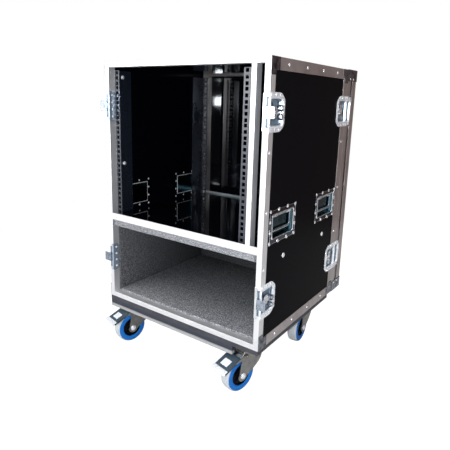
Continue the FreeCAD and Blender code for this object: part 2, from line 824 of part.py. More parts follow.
handle_pans = []
for end, reach in HANDLES:
    middle = "(dims.front_plane + %s)" % reach
    level = "(dims.base_height + dims.handle_level)"
    tag = "handle_%s" % end
    tray = pan_block(
        tag + "_tray",
        "%s - dims.handle_pan_wide / 2" % middle,
        "%s + dims.handle_pan_wide / 2" % middle,
        level,
        "dims.handle_pan_tall",
        "dims.handle_pan_back",
        PANEL_OUT,
    )
    rim = pan_block(
        tag + "_rim",
        "%s - dims.handle_wide / 2" % middle,
        "%s + dims.handle_wide / 2" % middle,
        level,
        "dims.handle_tall",
        PANEL_OUT,
        "%s + dims.sheet_metal" % PANEL_OUT,
    )
    hollow = pan_block(
        tag + "_hollow",
        "%s - dims.handle_pan_wide / 2 + dims.sheet_metal" % middle,
        "%s + dims.handle_pan_wide / 2 - dims.sheet_metal" % middle,
        level,
        "(dims.handle_pan_tall - 2 * dims.sheet_metal)",
        "dims.handle_pan_back + dims.sheet_metal",
        "%s + dims.sheet_metal + 1" % PANEL_OUT,
    )
    pivot_x = "(%s - dims.grip_bar - 1)" % PANEL_OUT
    pivot_z = "(%s + dims.handle_pan_tall / 2 - dims.sheet_metal - dims.grip_bar - 1)" % level
    pivot_hole = rod(
        tag + "_pivot_hole",
        "y",
        "dims.grip_pin + dims.fit",
        "dims.handle_pan_wide + 2",
        pivot_x,
        "%s - dims.handle_pan_wide / 2 - 1" % middle,
        pivot_z,
    )
    pan = cut(tag + "_pan", join(tag + "_blank", [tray, rim]), [hollow, pivot_hole])
    handle_pans += [pan, mirror(tag + "_pan_left", pan)]

    pivot = rod(
        tag + "_pivot", "y", "dims.grip_pin", "dims.handle_pan_wide",
        pivot_x, "%s - dims.handle_pan_wide / 2" % middle, pivot_z,
    )
    parts = [pivot]
    for side, y0 in (
        ("near", "%s - dims.grip_wide / 2 - dims.grip_bar" % middle),
        ("far", "%s + dims.grip_wide / 2 - dims.grip_bar" % middle),
    ):
        arm = rod(
            "%s_arm_%s" % (tag, side), "z", "dims.grip_arm", "dims.grip_drop",
            pivot_x, y0 + " + dims.grip_bar", "%s - dims.grip_drop" % pivot_z,
        )
        eye = rod(
            "%s_eye_%s" % (tag, side), "y", "dims.grip_eye", "2 * dims.grip_bar",
            pivot_x, y0, pivot_z,
        )
        parts += [arm, eye]
    parts.append(
        rod(
            tag + "_bar", "y", "dims.grip_bar", "dims.grip_wide + 2 * dims.grip_bar",
            pivot_x, "%s - dims.grip_wide / 2 - dims.grip_bar" % middle, "%s - dims.grip_drop" % pivot_z,
        )
    )
    grip = keep(join("handle_grip_%s_right" % end, parts))
    keep(mirror("handle_grip_%s_left" % end, grip))
keep(group("handle_pans", handle_pans))

# ---------------------------------------------------------------- corner plates and rivets

corner_plates = []
for level_name, z0, z1, arm_z0, arm_z1 in (
    ("top", "%s - dims.corner_leg" % TOP_LINE, TOP_LINE,
     "%s - dims.angle_leg" % TOP_LINE, TOP_LINE),
    ("bottom", FLOOR_LINE, "%s + dims.corner_leg" % FLOOR_LINE,
     FLOOR_LINE, "%s + dims.angle_leg" % FLOOR_LINE),
):
    for end, y0, y1, arm_y0, arm_y1 in (
        ("front", FRONT, "%s + dims.front_leg" % FRONT, FRONT, "%s + dims.corner_leg" % FRONT),
        ("rear", "%s - dims.front_leg" % SEAM, SEAM, "%s - dims.corner_leg" % SEAM, SEAM),
    ):
        tag = "corner_%s_%s" % (level_name, end)
        face = "%s + dims.sheet_metal" % HALF
        upright = box(tag + "_upright", HALF, face, y0, y1, z0, z1)
        arm = box(tag + "_arm", HALF, face, arm_y0, arm_y1, arm_z0, arm_z1)
        plate = join(tag + "_plate", [upright, arm])
        corner_plates += [plate, mirror(tag + "_left", plate)]
keep(group("corner_plates", corner_plates))

rivets = []


def rivet(y, z, on=HALF):
    """Rivet head that stands from a plane on the right, with its twin on the left."""
    head = rod("rivet_%d" % len(rivets), "x", "dims.rivet_radius", "dims.rivet_tall", on, y, z)
    rivets.extend([head, mirror("rivet_%d_left" % (len(rivets) + 1), head)])


ANGLE_RIVETS = 4
for index in range(ANGLE_RIVETS):
    along = "(%s + dims.body_depth * %s)" % (FRONT, (index + 0.85) / (ANGLE_RIVETS + 0.7))
    rivet(along, "%s - dims.angle_leg / 2" % TOP_LINE)
    rivet(along, "%s + dims.angle_leg / 2" % FLOOR_LINE)
for edge_y in ("%s + dims.front_leg * 0.5" % FRONT, "%s - dims.rear_leg / 2" % SEAM):
    for share in (0.30, 0.50, 0.70):
        rivet(edge_y, "(%s + dims.case_height * %s)" % (FLOOR_LINE, share))
WRAP_FACE = "(%s - dims.sheet_metal - dims.rivet_tall)" % EDGE_IN
for height_name, height in (("high", "dims.latch_high"), ("low", "dims.latch_low")):
    for share in (-0.36, -0.12, 0.12, 0.36):
        rivet(
            "(%s + dims.inner_leg / 2)" % FRONT,
            "(%s + dims.latch_wrap * %s)" % (latch_level(height), share),
            WRAP_FACE,
        )
HANDLE_RIM = "%s + dims.sheet_metal" % PANEL_OUT
RIM_SPOTS = [(column, row) for column in (-0.45, -0.16, 0.16, 0.45) for row in (-0.42, 0.42)]
RIM_SPOTS += [(column, row) for column in (-0.45, 0.45) for row in (-0.14, 0.14)]
for end, reach in HANDLES:
    for column, row in RIM_SPOTS:
        rivet(
            "(%s + %s + dims.handle_wide * %s)" % (FRONT, reach, column),
            "(dims.base_height + dims.handle_level + dims.handle_tall * %s)" % row,
            HANDLE_RIM,
        )
keep(group("rivets", rivets))

# Coach bolts: two through each side into the shelf, and two through the left side into a rack strip.
coach_bolts = []
for name, sides, reach, up in (
    ("shelf_front", ("right", "left"), "dims.coach_near", "dims.coach_level"),
    ("shelf_rear", ("right", "left"), "dims.coach_far", "dims.coach_level"),
    ("strip_low", ("left",), "dims.strip_bolt_reach", "dims.strip_bolt_low"),
    ("strip_high", ("left",), "dims.strip_bolt_reach", "dims.strip_bolt_high"),
):
    head = rod(
        "coach_bolt_" + name, "x", "dims.coach_radius", "dims.coach_tall", PANEL_OUT,
        "(%s + %s)" % (FRONT, reach), "(%s + %s)" % (FLOOR_LINE, up),
    )
    if "right" in sides:
        coach_bolts.append(head)
    coach_bolts.append(mirror("coach_bolt_%s_left" % name, head))
keep(group("coach_bolts", coach_bolts))

# ---------------------------------------------------------------- base board and castors

BOARD_END = "(%s + dims.board_depth)" % FRONT
CASTORS = [
    ("front_right", "dims.castor_x", "%s + dims.castor_near" % FRONT, "dims.front_turn"),
    ("front_left", "-dims.castor_x", "%s + dims.castor_near" % FRONT, "dims.front_turn"),
    ("rear_right", "dims.castor_x", "%s + dims.castor_far" % FRONT, "dims.rear_turn"),
    ("rear_left", "-dims.castor_x", "%s + dims.castor_far" % FRONT, "dims.rear_turn"),
]
BOLT_SPOTS = [(across, along) for across in (-1, 1) for along in (-1, 1)]


def at_bolts(label, radius, length, low):
    """Four upright bars at a castor plate's bolt places, about the plate's own middle."""
    return [
        rod(
            "%s_%d" % (label, index),
            "z",
            radius,
            length,
            "%d * dims.bolt_long / 2" % across,
            "%d * dims.bolt_wide / 2" % along,
            low,
        )
        for index, (across, along) in enumerate(BOLT_SPOTS)
    ]


board_blank = box("board_blank", "-%s" % HALF, HALF, FRONT, BOARD_END, BOARD_UNDER, FLOOR_LINE)
board_drills = group(
    "board_drill_set",
    at_bolts("board_drill", "dims.bolt_radius + 0.1", "dims.board_thick + 2", BOARD_UNDER + " - 1"),
)
board_holes = [
    place("board_holes_" + name, board_drills, x, y, "0") for name, x, y, turn in CASTORS
]
keep(cut("castor_board", board_blank, board_holes))
keep(
    box(
        "front_skirt",
        "-%s" % HALF,
        "dims.skirt_right",
        FRONT,
        "%s + dims.skirt_thick" % FRONT,
        "%s - dims.skirt_tall" % BOARD_UNDER,
        BOARD_UNDER,
    )
)

# Fixed half of one castor, about its own swivel axis.
PLATE_LOW = "(%s - dims.plate_thick)" % BOARD_UNDER
RACE_LOW = "(%s - dims.race_tall)" % PLATE_LOW
CROWN_HIGH = "(%s - dims.race_gap)" % RACE_LOW
CROWN_LOW = "(%s - dims.crown_thick)" % CROWN_HIGH
plate_blank = box(
    "castor_plate_blank",
    "-dims.plate_long / 2",
    "dims.plate_long / 2",
    "-dims.plate_wide / 2",
    "dims.plate_wide / 2",
    PLATE_LOW,
    BOARD_UNDER,
)
race = rod("castor_race", "z", "dims.race_radius", "dims.race_tall", "0", "0", RACE_LOW)
kingpin = rod(
    "castor_kingpin", "z", "dims.axle_radius", "%s - %s + dims.race_gap + 1" % (RACE_LOW, CROWN_LOW),
    "0", "0", "%s - dims.race_gap - 1" % CROWN_LOW,
)
kingpin_head = rod(
    "castor_kingpin_head", "z", "dims.axle_radius + 4", "dims.plate_thick", "0", "0",
    "%s - dims.race_gap - dims.plate_thick" % CROWN_LOW,
)
plate_drills = at_bolts(
    "plate_drill", "dims.bolt_radius + 0.1", "dims.plate_thick + 2", PLATE_LOW + " - 1"
)
castor_plate = cut(
    "castor_plate", join("castor_plate_solid", [plate_blank, race, kingpin, kingpin_head]), plate_drills
)
keep(
    group(
        "castor_plates",
        [place("castor_plate_" + name, castor_plate, x, y, "0") for name, x, y, turn in CASTORS],
    )
)
bolt_shanks = at_bolts(
    "bolt_shank", "dims.bolt_radius", "dims.board_thick + dims.plate_thick", PLATE_LOW
)
bolt_heads = at_bolts(
    "bolt_head", "1.7 * dims.bolt_radius", "dims.bolt_radius", PLATE_LOW + " - dims.bolt_radius"
)
bolt_set = group(
    "bolt_set",
    [join("castor_bolt_%d" % index, list(pair)) for index, pair in enumerate(zip(bolt_shanks, bolt_heads))],
)
keep(
    group(
        "castor_bolts",
        [place("castor_bolts_" + name, bolt_set, x, y, "0") for name, x, y, turn in CASTORS],
    )
)

# Turning half: the fork trails towards -Y, with the axle across X.
crown = box(
    "fork_crown",
    "-dims.fork_half",
    "dims.fork_half",
    "-(dims.trail - 8)",
    "dims.race_radius",
    CROWN_LOW,
    CROWN_HIGH,
)
crown_hole = rod(
    "fork_crown_hole", "z", "dims.axle_radius + dims.fit", "dims.crown_thick + 2", "0", "0",
    CROWN_LOW + " - 1",
)
crown_plate = cut("fork_crown_plate", crown, [crown_hole])
LEG_TALL = "(%s - dims.wheel_radius + dims.fork_boss)" % CROWN_HIGH
LEG_LONG = "(dims.race_radius + dims.trail + dims.fork_boss)"
LEG_POINTS = [
    ("0", "dims.fork_boss * 0.7"),
    ("dims.fork_boss * 0.4", "0"),
    ("dims.fork_boss * 1.6", "0"),
    ("dims.fork_boss * 2", "dims.fork_boss * 0.7"),
    (LEG_LONG + " * 0.65", LEG_TALL + " * 0.36"),
    (LEG_LONG + " * 0.92", LEG_TALL + " * 0.56"),
    (LEG_LONG, LEG_TALL + " * 0.70"),
    (LEG_LONG, LEG_TALL),
    ("dims.fork_boss + 4", LEG_TALL),
    ("dims.fork_boss * 0.7", LEG_TALL + " - 14"),
    ("dims.fork_boss * 0.2", LEG_TALL + " * 0.40"),
]
fork_parts = [crown_plate]
for side, x in (("right", "dims.fork_half - dims.fork_metal"), ("left", "-dims.fork_half")):
    leg = padded_profile("fork_leg_" + side, "YZ_Plane", LEG_POINTS, "dims.fork_metal")
    fork_parts.append(
        move_to(leg, x, "-(dims.trail + dims.fork_boss)", "dims.wheel_radius - dims.fork_boss")
    )


def across_fork(label, radius, half_length, along, up):
    return rod(label, "x", radius, "2 * (%s)" % half_length, "-(%s)" % half_length, along, up)


axle_hole = across_fork(
    "axle_hole", "dims.axle_radius + dims.fit", "dims.fork_half + 1", "-dims.trail", "dims.wheel_radius"
)
pedal_hole = across_fork(
    "pedal_hole", "dims.pedal_pin + dims.fit", "dims.fork_half + 1", "-dims.pedal_back", "dims.pedal_high"
)
fork_solid = join("fork_solid", fork_parts)
fork = cut("fork_body", fork_solid, [axle_hole])
braked_fork = cut("braked_fork_body", fork_solid, [axle_hole, pedal_hole])
axle = across_fork(
    "axle_bar", "dims.axle_radius", "dims.fork_half + dims.fork_metal", "-dims.trail", "dims.wheel_radius"
)
nuts = []
for side, x in (("right", "dims.fork_half + 0.2"), ("left", "-(dims.fork_half + 0.2 + dims.fork_metal)")):
    nuts.append(
        rod("axle_nut_" + side, "x", "dims.axle_radius * 1.5", "dims.fork_metal", x,
            "-dims.trail", "dims.wheel_radius")
    )
axle_set = join("axle", [axle] + nuts)
fork_set = group("fork_set", [fork, axle_set])
braked_fork_set = group("braked_fork_set", [braked_fork, axle_set])

# Wheel: a rubber tyre round a moulded hub, both turned about the axle.
tyre = turned_profile(
    "tyre_ring",
    [
        ("dims.rim_radius", "2"),
        ("dims.wheel_radius - 6", "0"),
        ("dims.wheel_radius - 1", "4"),
        ("dims.wheel_radius", "8"),
        ("dims.wheel_radius", "dims.wheel_wide - 8"),
        ("dims.wheel_radius - 1", "dims.wheel_wide - 4"),
        ("dims.wheel_radius - 6", "dims.wheel_wide"),
        ("dims.rim_radius", "dims.wheel_wide - 2"),
    ],
)
move_to(tyre, "0", "-dims.wheel_wide / 2", "0")
hub = turned_profile(
    "hub_ring",
    [
        ("dims.axle_radius + dims.fit", "0"),
        ("dims.axle_radius + 5", "0"),
        ("dims.axle_radius + 5", "10"),
        ("dims.rim_radius - 5", "10"),
        ("dims.rim_radius - 5", "3"),
        ("dims.rim_radius", "3"),
        ("dims.rim_radius", "dims.hub_wide - 3"),
        ("dims.rim_radius - 5", "dims.hub_wide - 3"),
        ("dims.rim_radius - 5", "dims.hub_wide - 10"),
        ("dims.axle_radius + 5", "dims.hub_wide - 10"),
        ("dims.axle_radius + 5", "dims.hub_wide"),
        ("dims.axle_radius + dims.fit", "dims.hub_wide"),
    ],
)
move_to(hub, "0", "-dims.hub_wide / 2", "0")

# Brake pedal: a sloping tread plate on two arms outside the fork, with a pin through the fork.
ARM_IN = "(dims.fork_half + 0.4)"
ARM_OUT = "(dims.fork_half + 0.4 + dims.fork_metal)"
PEDAL_TIP = "(dims.pedal_back + dims.pedal_long)"
pedal_parts = [
    across_fork("pedal_pin", "dims.pedal_pin", ARM_OUT, "-dims.pedal_back", "dims.pedal_high"),
]
for side, x0, x1 in (("right", ARM_IN, ARM_OUT), ("left", "-" + ARM_OUT, "-" + ARM_IN)):
    pedal_parts.append(
        box(
            "pedal_arm_" + side,
            x0,
            x1,
            "-(dims.pedal_back + dims.pedal_arm)",
            "-(dims.pedal_back - 7)",
            "dims.pedal_high - 6",
            "dims.pedal_high + 6",
        )
    )
pedal_plate = padded_profile(
    "pedal_plate",
    "YZ_Plane",
    [
        ("0", "0"),
        ("dims.pedal_long - dims.pedal_arm + 8", "dims.pedal_slope"),
        ("dims.pedal_long - dims.pedal_arm + 8", "dims.pedal_slope + dims.fork_metal"),
        ("0", "dims.fork_metal"),
    ],
    "2 * dims.pedal_half",
)
move_to(
    pedal_plate,
    "-dims.pedal_half",
    "-" + PEDAL_TIP,
    "dims.pedal_high + 1 - dims.pedal_slope",
)
pedal = join("pedal_set", pedal_parts + [pedal_plate])

for name, x, y, turn in CASTORS:
    turning_half = braked_fork_set if name.startswith("front") else fork_set
    keep(place("castor_fork_" + name, turning_half, x, y, "0", turn))
    wheel_x = "%s + dims.trail * sin(%s)" % (x, turn)
    wheel_y = "%s - dims.trail * cos(%s)" % (y, turn)
    for piece, source in (("castor_tyre_", tyre), ("castor_hub_", hub)):
        keep(place(piece + name, source, wheel_x, wheel_y, "dims.wheel_radius", "%s + 90" % turn))
    if name.startswith("front"):
        keep(place("castor_pedal_" + name, pedal, x, y, "0", turn))

# ---------------------------------------------------------------- rear lid

LID_FACE = "(%s + dims.lid_gap)" % SEAM
LID_BOARD = "(%s - dims.skin - dims.ply)" % REAR


def keeper_cutters(tag, back):
    """Blocks that clear the right-hand keeper pans out of the lid."""
    blocks = []
    for name, height in (("high", "dims.latch_high"), ("low", "dims.latch_low")):
        blocks.append(
            pan_block(
                "%s_keeper_clear_%s" % (tag, name),
                "%s - 1" % LID_FACE,
                "%s + dims.keeper_wide - dims.pan_margin" % LID_FACE,
                latch_level(height),
                "dims.latch_pan_tall",
                back,
                "%s + 1" % HALF,
            )
        )
    return blocks


lid_rim_blank = box(
    "lid_rim_blank", PANEL_IN, PANEL_OUT, "%s + dims.face_thick" % LID_FACE, LID_BOARD,
    "%s + dims.skin" % FLOOR_LINE, "%s - dims.skin" % TOP_LINE,
)
lid_rim_right = cut("lid_rim_right", lid_rim_blank, keeper_cutters("lid_rim", PANEL_THROUGH))
lid_boards = [lid_rim_right, mirror("lid_rim_left", lid_rim_right)]
for name, z0, z1 in (
    ("top", "%s - dims.skin - dims.ply" % TOP_LINE, "%s - dims.skin" % TOP_LINE),
    ("bottom", "%s + dims.skin" % FLOOR_LINE, "%s + dims.skin + dims.ply" % FLOOR_LINE),
):
    blank = box("lid_rim_%s_blank" % name, "-%s" % PANEL_IN, PANEL_IN,
                "%s + dims.face_thick" % LID_FACE, LID_BOARD, z0, z1)
    notches = post_notches("lid_rim_%s_notch" % name, LID_FACE, "%s + dims.inner_leg" % LID_FACE, z0, z1)
    lid_boards.append(cut("lid_rim_" + name, blank, notches))
lid_boards.append(
    box("lid_back", "-%s" % PANEL_OUT, PANEL_OUT, LID_BOARD, "%s - dims.skin" % REAR,
        "%s + dims.skin" % FLOOR_LINE, "%s - dims.skin" % TOP_LINE)
)
keep(group("lid_panels", lid_boards))

lid_post, lid_rails = edging("lid_edging", "dims.lid_leg", LID_FACE, False)
lid_right = cut("lid_edging_right", lid_post, keeper_cutters("lid_edging", "dims.latch_pan_back"))
lid_angle = padded_profile("lid_angle_side", "XY_Plane", ANGLE_TOP, "dims.case_height")
move_to(lid_angle, "%s - dims.angle_leg" % HALF, "%s - dims.angle_leg" % REAR, FLOOR_LINE)
lid_angle_runs = []
for name, points, low in (
    ("bottom", ANGLE, FLOOR_LINE),
    ("top", ANGLE_TOP, "%s - dims.angle_leg" % TOP_LINE),
):
    run = padded_profile(
        "lid_angle_" + name, "YZ_Plane", points, "dims.case_width - 2 * dims.angle_leg"
    )
    move_to(run, "-(%s - dims.angle_leg)" % HALF, "%s - dims.angle_leg" % REAR, low)
    lid_angle_runs.append(run)
keep(
    group(
        "lid_edging",
        [lid_right, mirror("lid_edging_left", lid_right), lid_angle, mirror("lid_angle_left", lid_angle)]
        + lid_rails
        + lid_angle_runs,
    )
)

keepers = []
for name, height in (("high", "dims.latch_high"), ("low", "dims.latch_low")):
    tag = "keeper_" + name
    level = latch_level(height)
    y1 = "(%s + dims.keeper_wide - dims.pan_margin)" % LID_FACE
    tray = pan_block(tag + "_tray", LID_FACE, y1, level, "dims.latch_pan_tall", "dims.latch_pan_back", HALF)
    rim = pan_block(
        tag + "_rim", LID_FACE, "(%s + dims.keeper_wide)" % LID_FACE, level, "dims.latch_tall",
        HALF, "%s + dims.sheet_metal" % HALF,
    )
    hollow = pan_block(
        tag + "_hollow", "%s - 1" % LID_FACE, "%s - dims.sheet_metal" % y1, level,
        "(dims.latch_pan_tall - 2 * dims.sheet_metal)",
        "dims.latch_pan_back + dims.sheet_metal", "%s + dims.sheet_metal + 1" % HALF,
    )
    keeper = cut(tag + "_pan", join(tag + "_blank", [tray, rim]), [hollow])
    keepers += [keeper, mirror(tag + "_left", keeper)]
keep(group("lid_keepers", keepers))

ball_corners = []
for name, z0, z1, ball_z, inner_z0, inner_z1 in (
    ("top", "%s - dims.cap_tall" % TOP_LINE, "%s + dims.skin" % TOP_LINE,
     "%s - dims.ball_inset" % TOP_LINE,
     "%s - dims.cap_tall - 1" % TOP_LINE, TOP_LINE),
    ("bottom", "%s - dims.skin" % FLOOR_LINE, "%s + dims.cap_tall" % FLOOR_LINE,
     "%s + dims.ball_inset" % FLOOR_LINE,
     FLOOR_LINE, "%s + dims.cap_tall + 1" % FLOOR_LINE),
):
    tag = "ball_corner_" + name
    cap = box(tag + "_cap", "%s - dims.corner_leg" % HALF, "%s + dims.skin" % HALF,
              "%s - dims.cap_deep" % REAR, "%s + dims.skin" % REAR, z0, z1)
    ball = new("Part::Sphere", tag + "_ball")
    bind(ball, "Radius", "dims.ball_inset + dims.ball_proud")
    move_to(ball, "%s - dims.ball_inset" % HALF, "%s - dims.ball_inset" % REAR, ball_z)
    inside = box(tag + "_inside", "%s - dims.corner_leg - 1" % HALF, HALF,
                 "%s - dims.cap_deep - 1" % REAR, REAR, inner_z0, inner_z1)
    corner = cut(tag + "_shell", join(tag + "_blank", [cap, ball]), [inside])
    ball_corners += [corner, mirror(tag + "_left", corner)]
keep(group("lid_ball_corners", ball_corners))

# ---------------------------------------------------------------- check and write

doc.recompute()
for item in doc.Objects:
    if any(state in item.State for state in ("Invalid", "Error")):
        raise SystemExit("%s did not compute: %s" % (item.Label, item.State))

os.makedirs("parts", exist_ok=True)
for item in made:
    shape = item.Shape
    if shape.isNull() or not shape.isValid() or not shape.Solids:
        raise SystemExit("%s has no valid solid" % item.Label)
    shape.exportStep("parts/%s.step" % item.Label)
print(len(made), "sub-parts written")
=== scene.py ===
import json
import math

import bmesh
import bpy
from mathutils import Matrix, Vector


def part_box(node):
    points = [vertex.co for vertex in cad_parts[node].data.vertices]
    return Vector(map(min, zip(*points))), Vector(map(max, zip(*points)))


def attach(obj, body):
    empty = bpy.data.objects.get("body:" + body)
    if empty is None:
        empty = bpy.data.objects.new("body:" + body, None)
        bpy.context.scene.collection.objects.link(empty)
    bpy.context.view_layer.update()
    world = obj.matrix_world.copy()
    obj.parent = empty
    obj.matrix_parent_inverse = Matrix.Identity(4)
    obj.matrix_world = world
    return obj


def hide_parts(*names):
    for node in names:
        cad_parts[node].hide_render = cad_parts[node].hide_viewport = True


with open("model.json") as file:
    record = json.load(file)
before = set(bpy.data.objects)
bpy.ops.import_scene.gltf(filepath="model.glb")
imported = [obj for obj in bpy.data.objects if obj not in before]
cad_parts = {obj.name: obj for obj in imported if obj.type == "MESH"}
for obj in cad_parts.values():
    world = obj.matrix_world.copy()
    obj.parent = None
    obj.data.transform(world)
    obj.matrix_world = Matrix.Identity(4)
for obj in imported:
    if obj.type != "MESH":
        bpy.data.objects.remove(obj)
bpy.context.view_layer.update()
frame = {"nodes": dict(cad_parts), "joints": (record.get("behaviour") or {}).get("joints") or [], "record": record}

MM = 0.001
NODES = frame["nodes"]
SIDES = (("right", 1), ("left", -1))

# ---------------------------------------------------------------- places read from the frame


def low(node):
    return Vector(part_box(node)[0])


def high(node):
    return Vector(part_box(node)[1])


HALF = high("corner_angles").x
FRONT = low("front_edging").y
SEAM = high("rear_edging").y
BASE = low("front_edging").z
TOP = high("front_edging").z
INSIDE = high("side_panel_right").x
SKIN = 1.5 * MM
LINING = 10.0 * MM

# ---------------------------------------------------------------- materials

EVEN = (1, 1, 1)
BRUSHED = (1, 1, 0.06)


def material(name, metallic=0.0, roughness=0.5, **constants):
    """New material with its principled shader; constants go straight on the shader's sockets."""
    made = bpy.data.materials.new(name)
    made.use_nodes = True
    shader = made.node_tree.nodes["Principled BSDF"]
    shader.inputs["Metallic"].default_value = metallic
    shader.inputs["Roughness"].default_value = roughness
    for socket, value in constants.items():
        shader.inputs[socket.replace("_", " ")].default_value = value
    return made, made.node_tree, shader


def noise(tree, scale, detail, roughness=0.55, stretch=EVEN):
    """Noise over the piece's own coordinates, stretched along each axis by the given factors."""
    coords = tree.nodes.new("ShaderNodeTexCoord")
    mapping = tree.nodes.new("ShaderNodeMapping")
    mapping.inputs["Scale"].default_value = stretch
    texture = tree.nodes.new("ShaderNodeTexNoise")
    texture.inputs["Scale"].default_value = scale
    texture.inputs["Detail"].default_value = detail
    texture.inputs["Roughness"].default_value = roughness
    tree.links.new(coords.outputs["Object"], mapping.inputs["Vector"])
    tree.links.new(mapping.outputs["Vector"], texture.inputs["Vector"])
    return texture


def ramp(tree, source, stops):
    """Colour ramp over a source; stops are (place, colour)."""
    node = tree.nodes.new("ShaderNodeValToRGB")
    elements = node.color_ramp.elements
    while len(elements) < len(stops):
        elements.new(0.5)
    for element, (place, colour) in zip(elements, stops):
        element.position = place
        element.color = (*colour, 1.0)
    tree.links.new(source, node.inputs["Fac"])
    return node.outputs["Color"]


def span(tree, source, low_value, high_value, from_low=0.3, from_high=0.7):
    """Straight-line change of a source from one range of values to another, held at the ends."""
    node = tree.nodes.new("ShaderNodeMapRange")
    node.inputs["From Min"].default_value = from_low
    node.inputs["From Max"].default_value = from_high
    node.inputs["To Min"].default_value = low_value
    node.inputs["To Max"].default_value = high_value
    tree.links.new(source, node.inputs["Value"])
    return node.outputs["Result"]


def bump(tree, shader, height, strength, distance):
    """Fine relief on a shader; distance is in metres."""
    node = tree.nodes.new("ShaderNodeBump")
    node.inputs["Strength"].default_value = strength
    node.inputs["Distance"].default_value = distance
    tree.links.new(height, node.inputs["Height"])
    tree.links.new(node.outputs["Normal"], shader.inputs["Normal"])


def place_along(tree, axis, either_side=False):
    """Place of a point along one axis of the frame; both sides of the middle count alike if asked."""
    coords = tree.nodes.new("ShaderNodeTexCoord")
    split = tree.nodes.new("ShaderNodeSeparateXYZ")
    tree.links.new(coords.outputs["Object"], split.inputs["Vector"])
    value = split.outputs[axis]
    if either_side:
        distance = tree.nodes.new("ShaderNodeMath")
        distance.operation = "ABSOLUTE"
        tree.links.new(value, distance.inputs[0])
        value = distance.outputs[0]
    return value


def stirred(tree, value, texture, share):
    """Value with a share of a texture added."""
    node = tree.nodes.new("ShaderNodeMath")
    node.operation = "MULTIPLY_ADD"
    node.inputs[1].default_value = share
    tree.links.new(texture.outputs["Fac"], node.inputs[0])
    tree.links.new(value, node.inputs[2])
    return node.outputs[0]


def metal(name, dark, light, rough_low, rough_high, grain, bump_strength, blotch=9.0, metallic=1.0):
    """Worked metal: blotchy in colour; its roughness and relief follow a grain stretched by axis."""
    made, tree, shader = material(name, metallic=metallic)
    cloud = noise(tree, blotch, 5.0, 0.6)
    lines = noise(tree, 260.0, 2.0, 0.5, grain)
    colour = ramp(tree, cloud.outputs["Fac"], [(0.32, dark), (0.68, light)])
    tree.links.new(colour, shader.inputs["Base Color"])
    tree.links.new(span(tree, lines.outputs["Fac"], rough_low, rough_high), shader.inputs["Roughness"])
    bump(tree, shader, lines.outputs["Fac"], bump_strength, 0.0002)
    return made


def plate_painted_by_depth(name, stops, share, rough_low, rough_high, metallic=1.0):
    """Plated steel coloured by its depth behind the case's side as painted light: painted shade in the pressed
    hollows, painted reflection in the dish, painted highlight on the bead.
    """
    made, tree, shader = material(name, metallic=metallic)
    cloud = noise(tree, 60.0, 4.0, 0.6)
    hollow, proud = HALF - 9.5 * MM, HALF + 2.0 * MM
    # Depth sets the painted shade: darkest in the hollows, lightest on the raised bead.
    depth = span(tree, place_along(tree, "X", True), 0.0, 1.0, hollow, proud)
    shade = ramp(tree, stirred(tree, depth, cloud, share), stops)
    tree.links.new(shade, shader.inputs["Base Color"])
    tree.links.new(span(tree, cloud.outputs["Fac"], rough_low, rough_high), shader.inputs["Roughness"])
    bump(tree, shader, cloud.outputs["Fac"], 0.10, 0.0002)
    return made


def laminate(name, axis, edge, sheen_level):
    """Black laminate, faintly grained: matt beyond a place along one axis; polished short of it and darker there
    as painted shade.
    """
    made, tree, shader = material(name, Specular_IOR_Level=sheen_level)
    grain = noise(tree, 420.0, 3.0, 0.6)
    cloud = noise(tree, 9.0, 3.0, 0.5)
    outside = span(tree, place_along(tree, axis, axis == "X"), 0.0, 1.0, edge - SKIN, edge + SKIN)
    # The inner side is darker as painted shade inside the case.
    colour = ramp(tree, outside, [(0.0, (0.0009, 0.0011, 0.0020)), (1.0, (0.0042, 0.0039, 0.0047))])
    tree.links.new(colour, shader.inputs["Base Color"])
    roughness = stirred(tree, span(tree, outside, 0.03, 0.28, 0.0, 1.0), cloud, 0.03)
    tree.links.new(roughness, shader.inputs["Roughness"])
    bump(tree, shader, grain.outputs["Fac"], 0.02, 0.0001)
    return made


def painted(name, dark, light, rough_low, rough_high, grain_scale=300.0, shine=0.5):
    """Paint with soft clouds of a lighter shade and a fine grain."""
    made, tree, shader = material(name, Specular_IOR_Level=shine)
    grain = noise(tree, grain_scale, 3.0)
    cloud = noise(tree, 14.0, 5.0, 0.65)
    colour = ramp(tree, cloud.outputs["Fac"], [(0.35, dark), (0.75, light)])
    tree.links.new(colour, shader.inputs["Base Color"])
    tree.links.new(span(tree, cloud.outputs["Fac"], rough_low, rough_high), shader.inputs["Roughness"])
    bump(tree, shader, grain.outputs["Fac"], 0.15, 0.0003)
    return made


def felt():
    """Grey felt of light and dark fibres, with painted shade: paler towards the opening, darker to the rear and on
    the side walls.
    """
    made, tree, shader = material("felt", roughness=0.95, Specular_IOR_Level=0.1)
    fibres = noise(tree, 420.0, 2.0, 0.7)
    colour = ramp(tree, fibres.outputs["Fac"], [
        (0.34, (0.030, 0.030, 0.032)), (0.50, (0.105, 0.104, 0.110)), (0.66, (0.33, 0.33, 0.34))])
    shade = tree.nodes.new("ShaderNodeVectorMath")
    shade.operation = "SCALE"
    tree.links.new(colour, shade.inputs[0])
    # Painted shade: the felt darkens from the opening towards the rear and on the side walls.
    depth = span(tree, place_along(tree, "Y"), 1.5, 0.30, FRONT, high("storage_lining").y)
    wall = high("storage_lining").x - LINING
    painted_wall_shade = span(tree, place_along(tree, "X", True), 1.0, 0.5, wall - LINING / 2, wall)
    painted_shade_factor = tree.nodes.new("ShaderNodeMath")
    painted_shade_factor.operation = "MULTIPLY"
    tree.links.new(depth, painted_shade_factor.inputs[0])
    tree.links.new(painted_wall_shade, painted_shade_factor.inputs[1])
    tree.links.new(painted_shade_factor.outputs[0], shade.inputs["Scale"])
    tree.links.new(shade.outputs[0], shader.inputs["Base Color"])
    bump(tree, shader, fibres.outputs["Fac"], 0.5, 0.0006)
    return made


